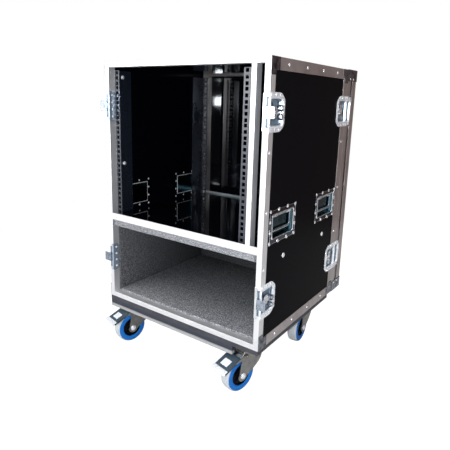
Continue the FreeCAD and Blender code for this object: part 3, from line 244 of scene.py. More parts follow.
def strip_paint(name, face, flange):
    """Rack strip paint: greyer on the drilled face, which stands at one depth, with the flange behind it darker as
    painted shade.
    """
    made, tree, shader = material(name, Specular_IOR_Level=0.5)
    cloud = noise(tree, 14.0, 5.0, 0.65)
    # Painted shade: darker beyond the drilled face, over the flange.
    depth = span(tree, place_along(tree, "Y"), 0.0, 1.0, face, flange)
    colour = ramp(tree, stirred(tree, depth, cloud, 0.1), [
        (0.30, (0.036, 0.038, 0.047)), (0.75, (0.006, 0.008, 0.013))])
    tree.links.new(colour, shader.inputs["Base Color"])
    tree.links.new(span(tree, cloud.outputs["Fac"], 0.22, 0.36), shader.inputs["Roughness"])
    return made


def skirt_paint():
    """Skirt board: lighter grey along its lower part, near black above as painted shadow below the castor board.
    """
    made, tree, shader = material("skirt_paint", roughness=0.6, Specular_IOR_Level=0.3)
    streaks = noise(tree, 40.0, 4.0, 0.6, (0.15, 1, 1))
    level = span(tree, place_along(tree, "Z"), 0.0, 1.0, low("front_skirt").z, high("front_skirt").z)
    # The near black upper part is painted shadow; the grey below is the board's own tone.
    colour = ramp(tree, stirred(tree, level, streaks, 0.16), [
        (0.30, (0.30, 0.295, 0.29)), (0.44, (0.24, 0.24, 0.245)), (0.56, (0.020, 0.022, 0.030)),
        (1.0, (0.032, 0.034, 0.046))])
    tree.links.new(colour, shader.inputs["Base Color"])
    bump(tree, shader, streaks.outputs["Fac"], 0.1, 0.0003)
    return made


# Latch pan tones by depth: painted shade in the hollows, a painted teal reflection in the dish, then the bright
# plate and bead.
LATCH_PAINTED_SHADE_STOPS = [(0.17, (0.02, 0.03, 0.05)), (0.27, (0.20, 0.27, 0.34)), (0.62, (0.05, 0.07, 0.10)),
               (0.93, (0.60, 0.63, 0.66)), (1.0, (0.86, 0.89, 0.92))]
# Handle pan tones by depth: a painted teal reflection in the dish, the plate dark as painted shade, a painted
# highlight on the bead.
HANDLE_PAINTED_SHADE_STOPS = [(0.05, (0.025, 0.070, 0.090)), (0.50, (0.12, 0.26, 0.32)), (0.82, (0.030, 0.035, 0.045)),
                (0.91, (0.060, 0.065, 0.080)), (0.95, (0.80, 0.82, 0.85))]

ALUMINIUM = metal(
    "satin_aluminium", (0.66, 0.655, 0.66), (0.80, 0.79, 0.79), 0.36, 0.50, BRUSHED, 0.12, metallic=0.8
)
# Darker, browner copy of the satin aluminium: painted shade for the rear edging, corner angles and lid edging.
SHADED_ALUMINIUM = metal(
    "aluminium_painted_shade", (0.37, 0.33, 0.32), (0.54, 0.50, 0.49), 0.36, 0.50, BRUSHED, 0.12, metallic=0.9
)
LATCH_PLATE_PAINTED_SHADE = plate_painted_by_depth("latch_plate", LATCH_PAINTED_SHADE_STOPS, 0.35, 0.24, 0.36, 0.55)
HANDLE_PLATE_PAINTED_SHADE = plate_painted_by_depth("handle_plate_painted_shade", HANDLE_PAINTED_SHADE_STOPS, 0.12, 0.10, 0.20)
RIVET = metal("bright_rivet", (0.76, 0.77, 0.79), (0.92, 0.92, 0.94), 0.18, 0.30, EVEN, 0.03, 60.0, 0.6)
# Blue-grey copy of the wrap's chrome for the left side: its tone is painted reflection.
WRAP_PAINTED_REFLECTION = metal(
    "wrap_chrome_painted_reflection", (0.34, 0.41, 0.50), (0.46, 0.53, 0.62), 0.12, 0.22, EVEN, 0.01, 30.0, metallic=0.7
)
HOOK_STEEL = metal("hook_steel", (0.16, 0.20, 0.26), (0.50, 0.54, 0.60), 0.16, 0.28, EVEN, 0.05, 110.0)
GRIP_CHROME = metal("grip_chrome", (0.34, 0.45, 0.50), (0.62, 0.71, 0.75), 0.08, 0.16, EVEN, 0.03, 50.0)
CHROME = metal("chrome", (0.74, 0.76, 0.78), (0.88, 0.89, 0.91), 0.06, 0.12, EVEN, 0.03, 40.0)
# Chrome darkened in blotches as painted reflection of dark surroundings, for corner plates and ball corners.
CHROME_PAINTED_REFLECTION = metal(
    "chrome_painted_reflection", (0.012, 0.013, 0.020), (0.30, 0.31, 0.35), 0.08, 0.16, EVEN, 0.05, 70.0
)
ZINC = metal("zinc_plate", (0.20, 0.195, 0.185), (0.34, 0.33, 0.315), 0.32, 0.46, EVEN, 0.12, 45.0)
SIDE_BOARD_MIDDLE = (low("side_panel_right").x + INSIDE) / 2
TOP_BOARD_MIDDLE = (low("top_panel").z + high("top_panel").z) / 2
# These boards take painted shade on their inner faces.
SIDE_LAMINATE = laminate("side_laminate", "X", SIDE_BOARD_MIDDLE, 0.01)
TOP_LAMINATE = laminate("top_laminate", "Z", TOP_BOARD_MIDDLE, 0.4)
INNER_LAMINATE = laminate("inner_laminate", "Z", TOP, 0.5)
LID_LAMINATE = laminate("lid_laminate", "Y", high("lid_panels").y - 4 * SKIN, 0.5)
STRIP_FRONT = low("rack_strips_front").y
STRIP_REAR = high("rack_strips_rear").y
FRONT_STRIP = strip_paint("front_strip_paint", STRIP_FRONT + SKIN, STRIP_FRONT + 4 * SKIN)
REAR_STRIP = strip_paint("rear_strip_paint", STRIP_REAR - SKIN, STRIP_REAR - 4 * SKIN)
BASE_PAINT = painted("base_paint", (0.030, 0.030, 0.036), (0.055, 0.055, 0.065), 0.45, 0.65, shine=0.3)
SKIRT_PAINT = skirt_paint()
RUBBER = painted("grey_tread", (0.42, 0.44, 0.45), (0.54, 0.56, 0.57), 0.60, 0.80, shine=0.3)
HUB = painted("black_hub", (0.001, 0.001, 0.002), (0.003, 0.003, 0.005), 0.34, 0.48, shine=0.1)
BLUE = painted("blue_ring", (0.003, 0.11, 0.40), (0.010, 0.17, 0.54), 0.40, 0.55, shine=0.2)
PEDAL_PAINT = painted("pedal_paint", (0.024, 0.038, 0.050), (0.044, 0.064, 0.080), 0.40, 0.55, shine=0.3)
BADGE = painted("pale_badge", (0.48, 0.50, 0.53), (0.72, 0.74, 0.77), 0.25, 0.40, 90.0)
FELT = felt()

FINISHES = {
    "laminated_ply": INNER_LAMINATE,
    "base_ply": BASE_PAINT,
    "felt": FELT,
    "edging": ALUMINIUM,
    "rack_steel": FRONT_STRIP,
    "latch_plate": LATCH_PLATE_PAINTED_SHADE,
    "key_zinc": CHROME,
    "grip_chrome": GRIP_CHROME,
    "corner_steel": ALUMINIUM,
    "rivet_steel": RIVET,
    "bolt_steel": RIVET,
    "zinc_steel": ZINC,
    "tread": RUBBER,
    "hub": HUB,
}


def dress(item, finish):
    item.data.materials.clear()
    item.data.materials.append(finish)


for entry in frame["record"]["subparts"]:
    dress(NODES[entry["node"]], FINISHES[entry["material_slot"]])
for node, finish in (
    ("side_panel_right", SIDE_LAMINATE),
    ("side_panel_left", SIDE_LAMINATE),
    ("top_panel", TOP_LAMINATE),
    ("lid_panels", LID_LAMINATE),
):
    dress(NODES[node], finish)

# ---------------------------------------------------------------- mesh tools

POINT = 1e-6
WELD = 1e-5
BEVEL_ANGLE = 32
SHARP_ANGLE = 38
RING_STEPS = 96


def around(steps):
    """Angles of a full turn in equal steps."""
    return [2 * math.pi * step / steps for step in range(steps)]


def quarter(steps):
    """Angles from nothing to a right angle in equal steps, both ends included."""
    return [math.pi / 2 * step / steps for step in range(steps + 1)]


def in_mm(pairs):
    """Pairs of millimetres as pairs of metres."""
    return [(first * MM, second * MM) for first, second in pairs]


def loft(shape, rings, start=True, end=True):
    """Skins a row of closed rings that have equal numbers of points; its ends are closed if asked."""
    rows = [[shape.verts.new(point) for point in ring] for ring in rings]
    count = len(rings[0])
    for lower, upper in zip(rows, rows[1:]):
        for index in range(count):
            after = (index + 1) % count
            shape.faces.new((lower[index], lower[after], upper[after], upper[index]))
    if start:
        shape.faces.new(rows[0][::-1])
    if end:
        shape.faces.new(rows[-1])


def lathe(shape, origin, axis, profile, steps):
    """Turns (radius, along) pairs about an axis; the profile's ends are closed flat."""
    axis = Vector(axis).normalized()
    across = axis.orthogonal().normalized()
    other = axis.cross(across)
    rings = []
    for radius, along in profile:
        middle = Vector(origin) + axis * along
        rings.append([
            middle + (across * math.cos(angle) + other * math.sin(angle)) * max(radius, POINT)
            for angle in around(steps)
        ])
    loft(shape, rings)


def dome(shape, place, axis, radius, height):
    """Low round head that stands on a face."""
    curve = ((1.0, 0.0), (1.0, 0.18), (0.9, 0.52), (0.68, 0.80), (0.36, 0.95), (0.0, 1.0))
    lathe(shape, place, axis, [(radius * out, height * up) for out, up in curve], 18)


def slab(shape, corner, opposite):
    """Block between two corners."""
    a, b = Vector(corner), Vector(opposite)
    ring = [(a.x, a.y), (b.x, a.y), (b.x, b.y), (a.x, b.y)]
    loft(shape, [[Vector((x, y, z)) for x, y in ring] for z in (a.z, b.z)])


def tube(shape, path, radius, steps=14):
    """Round bar along a path of points, square to the path at each one."""
    rings = []
    for index, point in enumerate(path):
        before, after = path[max(index - 1, 0)], path[min(index + 1, len(path) - 1)]
        along = (after - before).normalized()
        if index == 0:
            across = along.orthogonal().normalized()
        else:
            across = (across - along * across.dot(along)).normalized()
        other = along.cross(across)
        rings.append([
            point + (across * math.cos(angle) + other * math.sin(angle)) * radius
            for angle in around(steps)
        ])
    loft(shape, rings)


def prism(shape, outline, place, depth_low, depth_high):
    """Plate from a flat outline; place(u, v, w) turns plate coordinates into frame ones."""
    loft(shape, [[place(u, v, depth) for u, v in outline] for depth in (depth_low, depth_high)])


def soften_edges(item, width):
    """Rounds the sharp edges of a piece."""
    modifier = item.modifiers.new("soft_edges", "BEVEL")
    modifier.width = width
    modifier.segments = 2
    modifier.limit_method = "ANGLE"
    modifier.angle_limit = math.radians(BEVEL_ANGLE)
    modifier.harden_normals = True


def piece(name, body, slot, fill, hides=(), finish=None, bevel=0.0):
    """New piece: fill(shape) makes its mesh, and it rides on a body and takes a slot's finish."""
    mesh = bpy.data.meshes.new(name)
    shape = bmesh.new()
    fill(shape)
    bmesh.ops.remove_doubles(shape, verts=shape.verts, dist=2 * POINT)
    bmesh.ops.dissolve_degenerate(shape, edges=shape.edges, dist=POINT)
    bmesh.ops.recalc_face_normals(shape, faces=shape.faces)
    shape.to_mesh(mesh)
    shape.free()
    mesh.shade_smooth()
    mesh.set_sharp_from_angle(angle=math.radians(SHARP_ANGLE))
    item = bpy.data.objects.new(name, mesh)
    bpy.context.collection.objects.link(item)
    dress(item, finish or FINISHES[slot])
    if bevel:
        soften_edges(item, bevel)
    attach(item, body)
    if hides:
        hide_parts(*hides)
    return item


def softened(node, body, slot, width, finish=None):
    """Copy of a CAD node with clean faces and rounded edges, shown in its place."""

    def fill(shape):
        shape.from_mesh(NODES[node].data)
        bmesh.ops.remove_doubles(shape, verts=shape.verts, dist=WELD)
        bmesh.ops.dissolve_limit(
            shape, angle_limit=math.radians(1), verts=shape.verts, edges=shape.edges, delimit={"NORMAL"}
        )

    return piece(node + "_shown", body, slot, fill, (node,), finish, width)


def islands(node):
    """Lowest and highest corners of each separate solid of a CAD node."""
    shape = bmesh.new()
    shape.from_mesh(NODES[node].data)
    bmesh.ops.remove_doubles(shape, verts=shape.verts, dist=WELD)
    seen, found = set(), []
    for first in shape.verts:
        if first in seen:
            continue
        pending, members = [first], []
        seen.add(first)
        while pending:
            vertex = pending.pop()
            members.append(vertex.co.copy())
            for edge in vertex.link_edges:
                neighbour = edge.other_vert(vertex)
                if neighbour not in seen:
                    seen.add(neighbour)
                    pending.append(neighbour)
        corners = [[pick(point[axis] for point in members) for axis in range(3)] for pick in (min, max)]
        found.append((Vector(corners[0]), Vector(corners[1])))
    shape.free()
    return found


def soft_ring(sides, sharpness, grow, lobes):
    """Outline about the origin: soft-cornered convex polygon, with round lobes standing out of it.

    Each side is (direction in degrees, distance); each lobe is (u, v, radius). All of them grow alike.
    """
    points = []
    for angle in around(RING_STEPS):
        du, dv = math.cos(angle), math.sin(angle)
        total = 0.0
        for direction, distance in sides:
            facing = math.cos(angle - math.radians(direction))
            if facing > 0:
                total += (facing / (distance + grow)) ** sharpness
        reach = total ** (-1 / sharpness)
        for lobe_u, lobe_v, radius in lobes:
            along = lobe_u * du + lobe_v * dv
            off = abs(lobe_u * dv - lobe_v * du)
            if along > 0 and off < radius + grow:
                reach = max(reach, along + math.sqrt((radius + grow) ** 2 - off ** 2))
        points.append((reach * du, reach * dv))
    return points


def carve(item, corner, opposite):
    """Cuts a block between two corners out of a piece for good."""
    mesh = bpy.data.meshes.new("cutter")
    shape = bmesh.new()
    slab(shape, corner, opposite)
    bmesh.ops.recalc_face_normals(shape, faces=shape.faces)
    shape.to_mesh(mesh)
    shape.free()
    cutter = bpy.data.objects.new("cutter", mesh)
    bpy.context.collection.objects.link(cutter)
    modifier = item.modifiers.new("cut", "BOOLEAN")
    modifier.operation = "DIFFERENCE"
    modifier.solver = "EXACT"
    modifier.object = cutter
    evaluated = item.evaluated_get(bpy.context.evaluated_depsgraph_get())
    carved = bpy.data.meshes.new_from_object(evaluated)
    item.modifiers.remove(modifier)
    item.data = carved
    bpy.data.objects.remove(cutter)


def at_side(side, edge_y, inward, level):
    """Place on a case side: u runs in from the seam plane, v runs up, w runs out; all in millimetres."""

    def place(u, v, w):
        return Vector((side * (HALF + w * MM), edge_y + inward * u * MM, level + v * MM))

    return place


JOINTS = {joint["name"]: joint for joint in frame["joints"]}


def joint_place(name):
    return Vector(JOINTS[name]["pos_m"])


# ---------------------------------------------------------------- edging, boards and strips

for node, width, finish in (
    ("front_edging", 0.7, ALUMINIUM),
    ("rear_edging", 0.7, SHADED_ALUMINIUM),
    ("corner_angles", 0.5, SHADED_ALUMINIUM),
    ("divider_edging", 0.5, ALUMINIUM),
):
    softened(node, "case", "edging", width * MM, finish)
softened("corner_plates", "case", "corner_steel", 0.4 * MM, CHROME_PAINTED_REFLECTION)
softened("rack_strips_front", "case", "rack_steel", 0.5 * MM)
softened("rack_strips_rear", "case", "rack_steel", 0.5 * MM, REAR_STRIP)
softened("castor_board", "case", "base_ply", 1.0 * MM)
softened("front_skirt", "case", "base_ply", 1.0 * MM, SKIRT_PAINT)
softened("storage_lining", "case", "felt", 1.5 * MM)
softened("lid_edging", "lid", "edging", 0.6 * MM, SHADED_ALUMINIUM)
softened("lid_ball_corners", "lid", "corner_steel", 0.5 * MM, CHROME_PAINTED_REFLECTION)


def cap_rivets(shape):
    """Two rivets on each side face of the lid's corner caps, near the cap's lower or upper edge."""
    inset = 6.0 * MM
    for lowest, highest in islands("lid_ball_corners"):
        side = 1 if lowest.x > 0 else -1
        upper = lowest.z > (BASE + TOP) / 2
        level = lowest.z + inset if upper else highest.z - inset
        for share in (0.2, 0.55):
            y = lowest.y + share * (highest.y - lowest.y)
            dome(shape, (side * (HALF + SKIN), y, level), (side, 0, 0), 3.4 * MM, 1.4 * MM)


piece("lid_corner_rivets", "lid", "rivet_steel", cap_rivets)

# ---------------------------------------------------------------- rivets and coach bolts


def heads(node, body, slot, rise=1.0):
    """Domed heads where a CAD node has plain ones; those well inside the panels face the middle."""

    def fill(shape):
        for lowest, highest in islands(node):
            middle = (lowest + highest) / 2
            side = 1 if middle.x > 0 else -1
            if abs(middle.x) < INSIDE - LINING:
                side = -side
            foot = lowest.x if side > 0 else highest.x
            radius = (highest.y - lowest.y) / 2
            tall = (highest.x - lowest.x) * rise
            dome(shape, (foot, middle.y, middle.z), (side, 0, 0), radius, tall)

    piece(node + "_shown", body, slot, fill, (node,))


heads("rivets", "case", "rivet_steel", 1.15)
heads("coach_bolts", "case", "bolt_steel")


def strip_nuts(shape):
    """Nuts on the left rack strip's side flange, one for each coach bolt above the shelf."""
    strip_sheet = 2 * MM
    face = low("rack_strips_front").x + strip_sheet
    washer = [(0, 0), (6.0, 0), (6.0, 1.0), (0, 1.0)]
    nut = [(0, 1.0), (4.4, 1.0), (4.4, 4.0), (3.6, 4.6), (0, 4.6)]
    for lowest, highest in islands("coach_bolts"):
        middle = (lowest + highest) / 2
        if middle.z > high("middle_shelf").z:
            foot = (face, middle.y, middle.z)
            lathe(shape, foot, (1, 0, 0), in_mm(washer), 28)
            lathe(shape, foot, (1, 0, 0), in_mm(nut), 6)


piece("strip_nuts", "case", "rivet_steel", strip_nuts)

# ---------------------------------------------------------------- turn latches

# Sizes of latches, handles and castors are in millimetres.
LATCH_WIDE, KEEPER_WIDE = 76.0, 42.0
PAN_BACK = 8.8
PAN_DEEP = 10.0
PLATE = 1.2
TRAY_CORNERS, PLATE_CORNERS = 60, 22
HOOK_SLOT = ((-2, -14.6, -8.4), (6, 14.6, -5.0))
LATCH_RIVETS = ((8, 41), (30, 41), (52, 41), (70, 22), (70, 0))
WRAP_FACE, WRAP_LEG, WRAP_UP, WRAP_CORNER = 15.5, 23.0, 44.0, 9.0
KEY_PROUD = {"front": 23.5, "rear": 2.5}
WING_STAND, WING_LIE = 12.6, 1.45


def pressed_pan(shape, place, centre, plate, dish, tray, deep, bead, dish_corners=14, lobes=(), rim=0.0):
    """Pressed plate with a raised bead round a dish; its tray fills the hole cut for it.

    plate, dish and tray are soft_ring sides; rim raises the plate's outer edge; all in millimetres.
    """

    def ring(sides, corners, grow, depth, with_lobes=()):
        return [place(centre + u, v, depth) for u, v in soft_ring(sides, corners, grow, with_lobes)]

    edge = ((0, 0), (0, PLATE * 0.6), (-0.4, PLATE + rim), (-1.1, PLATE + rim), (-1.7, PLATE))
    pressing = (
        (3.6, PLATE), (2.6, PLATE + bead * 0.8), (1.6, PLATE + bead), (0.6, PLATE + bead * 0.8),
        (-0.4, PLATE * 0.2), (-2.0, -deep + 3.2), (-4.2, -deep + 1.2),
    )
    rings = [ring(tray, TRAY_CORNERS, 0, depth) for depth in (-deep, 0)]
    rings += [ring(plate, PLATE_CORNERS, grow, depth, lobes) for grow, depth in edge]
    rings += [ring(dish, dish_corners, grow, depth) for grow, depth in pressing]
    loft(shape, rings)


def latch_pan(name, body, side, edge_y, inward, level, wide, hides):
    """Pan on a case side, starting at one of its edges, with a slot for the hook and rivets round it."""
    place = at_side(side, edge_y, inward, level)
    middle = wide / 2
    cut = 0.63 * middle + 24.0
    plate = [(0, middle), (180, middle), (90, 47), (270, 47), (51, cut), (309, cut)]
    tray = [(0, middle - 8), (180, middle), (90, 35), (270, 35)]
    dish = [(0, middle - 12), (180, middle - 4), (90, 32), (270, 32)]

    def fill(shape):
        pressed_pan(shape, place, middle, plate, dish, tray, PAN_DEEP, 1.3)

    item = piece(name, body, "latch_plate", fill, hides)
    carve(item, *(place(*corner) for corner in HOOK_SLOT))

    def studs(shape):
        for u, v in LATCH_RIVETS:
            if u > wide - 4:
                continue
            for up in sorted({v, -v}):
                dome(shape, place(u, up, PLATE), (side, 0, 0), 3.4 * MM, 1.5 * MM)

    piece(name + "_rivets", body, "rivet_steel", studs)


def latch_wrap(tag, side, level):
    """The part of a front pan that goes over the post's front face and its inner leg."""
    face_in = HALF - WRAP_FACE * MM
    sheet = PLATE * MM
    bends = [
        (WRAP_CORNER * (1 - math.sin(turn)), WRAP_CORNER * (1 - math.cos(turn))) for turn in quarter(6)
    ]
    leg = [(-PLATE, -WRAP_UP), (-PLATE, WRAP_UP)]
    leg += [(WRAP_LEG - back, WRAP_UP - down) for back, down in bends]
    leg += [(WRAP_LEG - back, down - WRAP_UP) for down, back in bends]

    def point(x, y, z):
        return Vector((side * x, FRONT + y * MM, level + z * MM))

    def fill(shape):
        slab(shape, point(face_in, -PLATE, -WRAP_UP), point(HALF - PAN_BACK * MM, 0, WRAP_UP))
        loft(shape, [[point(x, y, z) for y, z in leg] for x in (face_in - sheet, face_in)])

    # Both wraps are chrome; the left one's blue-grey tone is painted reflection.
    finish = CHROME if side > 0 else WRAP_PAINTED_REFLECTION
    piece("latch_wrap_" + tag, "case", "latch_plate", fill, (), finish, 0.4 * MM)


def wing(shape, place, start, reach, half, thick):
    """One finger wing of a key: a D-shaped plate with a finger hole; place(along, across, depth)."""
    outer, inner = [], []
    middle, length = (start + reach) / 2, reach - start
    for angle in around(28):
        round_out = math.copysign(abs(math.cos(angle)) ** 0.55, math.cos(angle))
        round_up = math.copysign(abs(math.sin(angle)) ** 0.75, math.sin(angle))
        outer.append((middle + length / 2 * round_out, half * round_up))
        inner.append((middle + length * 0.24 * math.cos(angle), half * 0.42 * math.sin(angle)))
    below, above = -thick / 2, thick / 2
    section = ((inner, below), (outer, below), (outer, above), (inner, above), (inner, below))
    loft(shape, [[place(along, across, depth) for along, across in points] for points, depth in section],
         False, False)


def latch_key(end, tag, side):
    """Winged key on its disc: the front ones stand proud of the dish, the rear ones lie flat in it."""
    node = "latch_key_" + tag
    pivot = joint_place("key_turn_" + tag)
    face = high(node).x if side > 0 else -low(node).x
    disc_face = face - KEY_PROUD[end] * MM

    def place(u, v, w):
        return Vector((side * (disc_face + w * MM), pivot.y + u * MM, pivot.z + v * MM))

    def fill(shape):
        disc = [(3.0, -6.8), (3.0, -2.2), (12.2, -2.2), (13.0, -1.6), (13.0, -0.5), (12.2, 0),
                (10.4, 0), (9.6, -0.7), (5.0, -0.7), (4.4, 0.4), (3.2, 1.2), (0, 1.4)]
        lathe(shape, place(0, 0, 0), (side, 0, 0), in_mm(disc), 40)
        for toward in (1, -1):

            def standing(along, across, depth, toward=toward):
                return place(depth * toward, along * toward, WING_STAND + across)

            def lying(along, across, depth, toward=toward):
                return place(across * toward, along * toward, WING_LIE + depth)

            if end == "front":
                wing(shape, standing, 2.0, 18.0, 10.8, 2.0)
            else:
                wing(shape, lying, 4.0, 22.8, 7.8, 1.9)
        for up in (-7.0, 7.0):
            slab(shape, place(-2.4, up - 2.5, -0.4), place(2.4, up + 2.5, 1.2))

    piece(node + "_shown", "key_" + tag, "key_zinc", fill, (node,), bevel=0.35 * MM)


latch_nodes = ["latch_pans"]
keeper_nodes = ["lid_keepers"]
lid_face = low("lid_edging").y
for end, edge_y, inward in (("front", FRONT, 1), ("rear", SEAM, -1)):
    for level_name in ("high", "low"):
        for side_name, side in SIDES:
            tag = "%s_%s_%s" % (end, level_name, side_name)
            level = joint_place("key_turn_" + tag).z
            latch_pan("latch_pan_" + tag, "case", side, edge_y, inward, level, LATCH_WIDE, latch_nodes)
            latch_nodes = []
            if end == "front":
                latch_wrap(tag, side, level)
            latch_key(end, tag, side)
            softened("latch_hook_" + tag, "hook_" + tag, "zinc_steel", 0.4 * MM, HOOK_STEEL)
            if end == "rear":
                latch_pan("keeper_pan_" + tag, "lid", side, lid_face, 1, level, KEEPER_WIDE, keeper_nodes)
                keeper_nodes = []

# ---------------------------------------------------------------- drop handles

LOBE = 6.6
GRIP_HALF = 50
GRIP_CORNER = 9.0


def handle(end, side_name, side, hides):
    """Sprung drop handle in its lobed pan, with the rivets' tails and the backing frame inside."""
    tag = "%s_%s" % (end, side_name)
    node = "handle_grip_" + tag
    pivot = joint_place("grip_lift_" + tag)
    middle_z = (low("handle_pans").z + high("handle_pans").z) / 2
    face = HALF - SKIN

    def place(u, v, w):
        return Vector((side * (face + w * MM), pivot.y + u * MM, middle_z + v * MM))

    rivets = [(u, v) for u in (-67.5, -24.0, 24.0, 67.5) for v in (-42.0, 42.0)]
    rivets += [(u, v) for u in (-67.5, 67.5) for v in (-14.0, 14.0)]
    lobes = [(u, v, LOBE) for u, v in rivets]
    plate = [(0, 69.5), (180, 69.5), (90, 44.5), (270, 44.5)]
    tray = [(0, 59), (180, 59), (90, 32), (270, 32)]
    dish = [(0, 57), (180, 57), (90, 30), (270, 30)]

    def fill(shape):
        pressed_pan(shape, place, 0, plate, dish, tray, 11.0, 3.0, 26, lobes, 1.3)

    piece("handle_pan_" + tag, "case", "latch_plate", fill, hides, HANDLE_PLATE_PAINTED_SHADE)

    def studs(shape):
        for u, v in rivets:
            dome(shape, place(u, v, PLATE), (side, 0, 0), 4.6 * MM, 2.2 * MM)

    piece("handle_rivets_" + tag, "case", "rivet_steel", studs)

    def inner_place(u, v, w):
        """As place, from the inside face of the side panel; w runs inwards."""
        return Vector((side * (low("side_panel_right").x - w * MM), pivot.y + u * MM, middle_z + v * MM))

    def tails(shape):
        for u, v in rivets:
            dome(shape, inner_place(u, v, 0), (-side, 0, 0), 3.1 * MM, 1.6 * MM)

    piece("handle_tails_" + tag, "case", "rivet_steel", tails)

    def frame_bars(shape):
        for u0, u1, v0, v1 in (
            (-61, 61, 32.4, 34.4), (-61, 61, -34.4, -32.4), (-61, -59.4, -34, 34), (59.4, 61, -34, 34)
        ):
            slab(shape, inner_place(u0, v0, -0.4), inner_place(u1, v1, 1.6))

    piece("handle_frame_" + tag, "case", "latch_plate", frame_bars, (), RIVET, 0.3 * MM)

    grip_radius = 4.0
    drop = (pivot.z - low(node).z) / MM - grip_radius

    def at(u, v):
        return Vector((pivot.x, pivot.y + u * MM, pivot.z + v * MM))

    def coil(start):
        """Path of a spring wound on the pin, from start along it."""
        length, radius = 18.0, 3.5
        turns, steps = 9, 12
        points = []
        for step in range(turns * steps + 1):
            angle = 2 * math.pi * step / steps
            along = start + length * step / (turns * steps)
            points.append(Vector((pivot.x + radius * MM * math.cos(angle), pivot.y + along * MM,
                                  pivot.z + radius * MM * math.sin(angle))))
        return points

    def bar(shape):
        """Bent bar with its thicker grip, the eyes at its ends, the pin through them and two springs."""
        bend, floor_level = GRIP_CORNER, GRIP_CORNER - drop
        path = [at(-GRIP_HALF, 0), at(-GRIP_HALF, floor_level)]
        path += [
            at(-GRIP_HALF + bend - bend * math.cos(turn), floor_level - bend * math.sin(turn))
            for turn in quarter(6)[1:]
        ]
        path += [
            at(GRIP_HALF - bend + bend * math.sin(turn), floor_level - bend * math.cos(turn))
            for turn in quarter(6)
        ]
        path.append(at(GRIP_HALF, 0))
        tube(shape, path, 3.6 * MM)
        tube(shape, [at(-35, -drop), at(35, -drop)], grip_radius * MM, 20)
        eye = [(0.0, -4.2), (3.6, -4.2), (4.3, -3.4), (4.3, 3.4), (3.6, 4.2), (0.0, 4.2)]
        for u in (-GRIP_HALF, GRIP_HALF):
            lathe(shape, at(u, 0), (0, 1, 0), in_mm(eye), 24)
        lathe(shape, at(0, 0), (0, 1, 0), in_mm([(2.9, -58.8), (2.9, 58.8)]), 20)
        for start in (-44.0, 26.0):
            tube(shape, coil(start), 0.6 * MM, 6)

    piece(node + "_shown", "grip_" + tag, "grip_chrome", bar, (node,))


handle_nodes = ["handle_pans"]
for end in ("front", "rear"):
    for side_name, side in SIDES:
        handle(end, side_name, side, handle_nodes)
        handle_nodes = []

# ---------------------------------------------------------------- castors

WHEEL, FOOT = 50.0, 16.0
FORK_REAR = -30.0
CHEEK_IN, CHEEK_OUT = 20.0, 23.0
FORK_BEND = 7.0
PEDAL_HALF = 26.2
PEDAL_PIN, PIN_HALF = (28.0, 106.0), 27.4
PAD_START, PAD_FALL, PAD_END = (56.0, 107.0), (62.0, 26.0), 59
LIP_CENTRE, LIP_CURL = (61.5, 0.2), 3.4


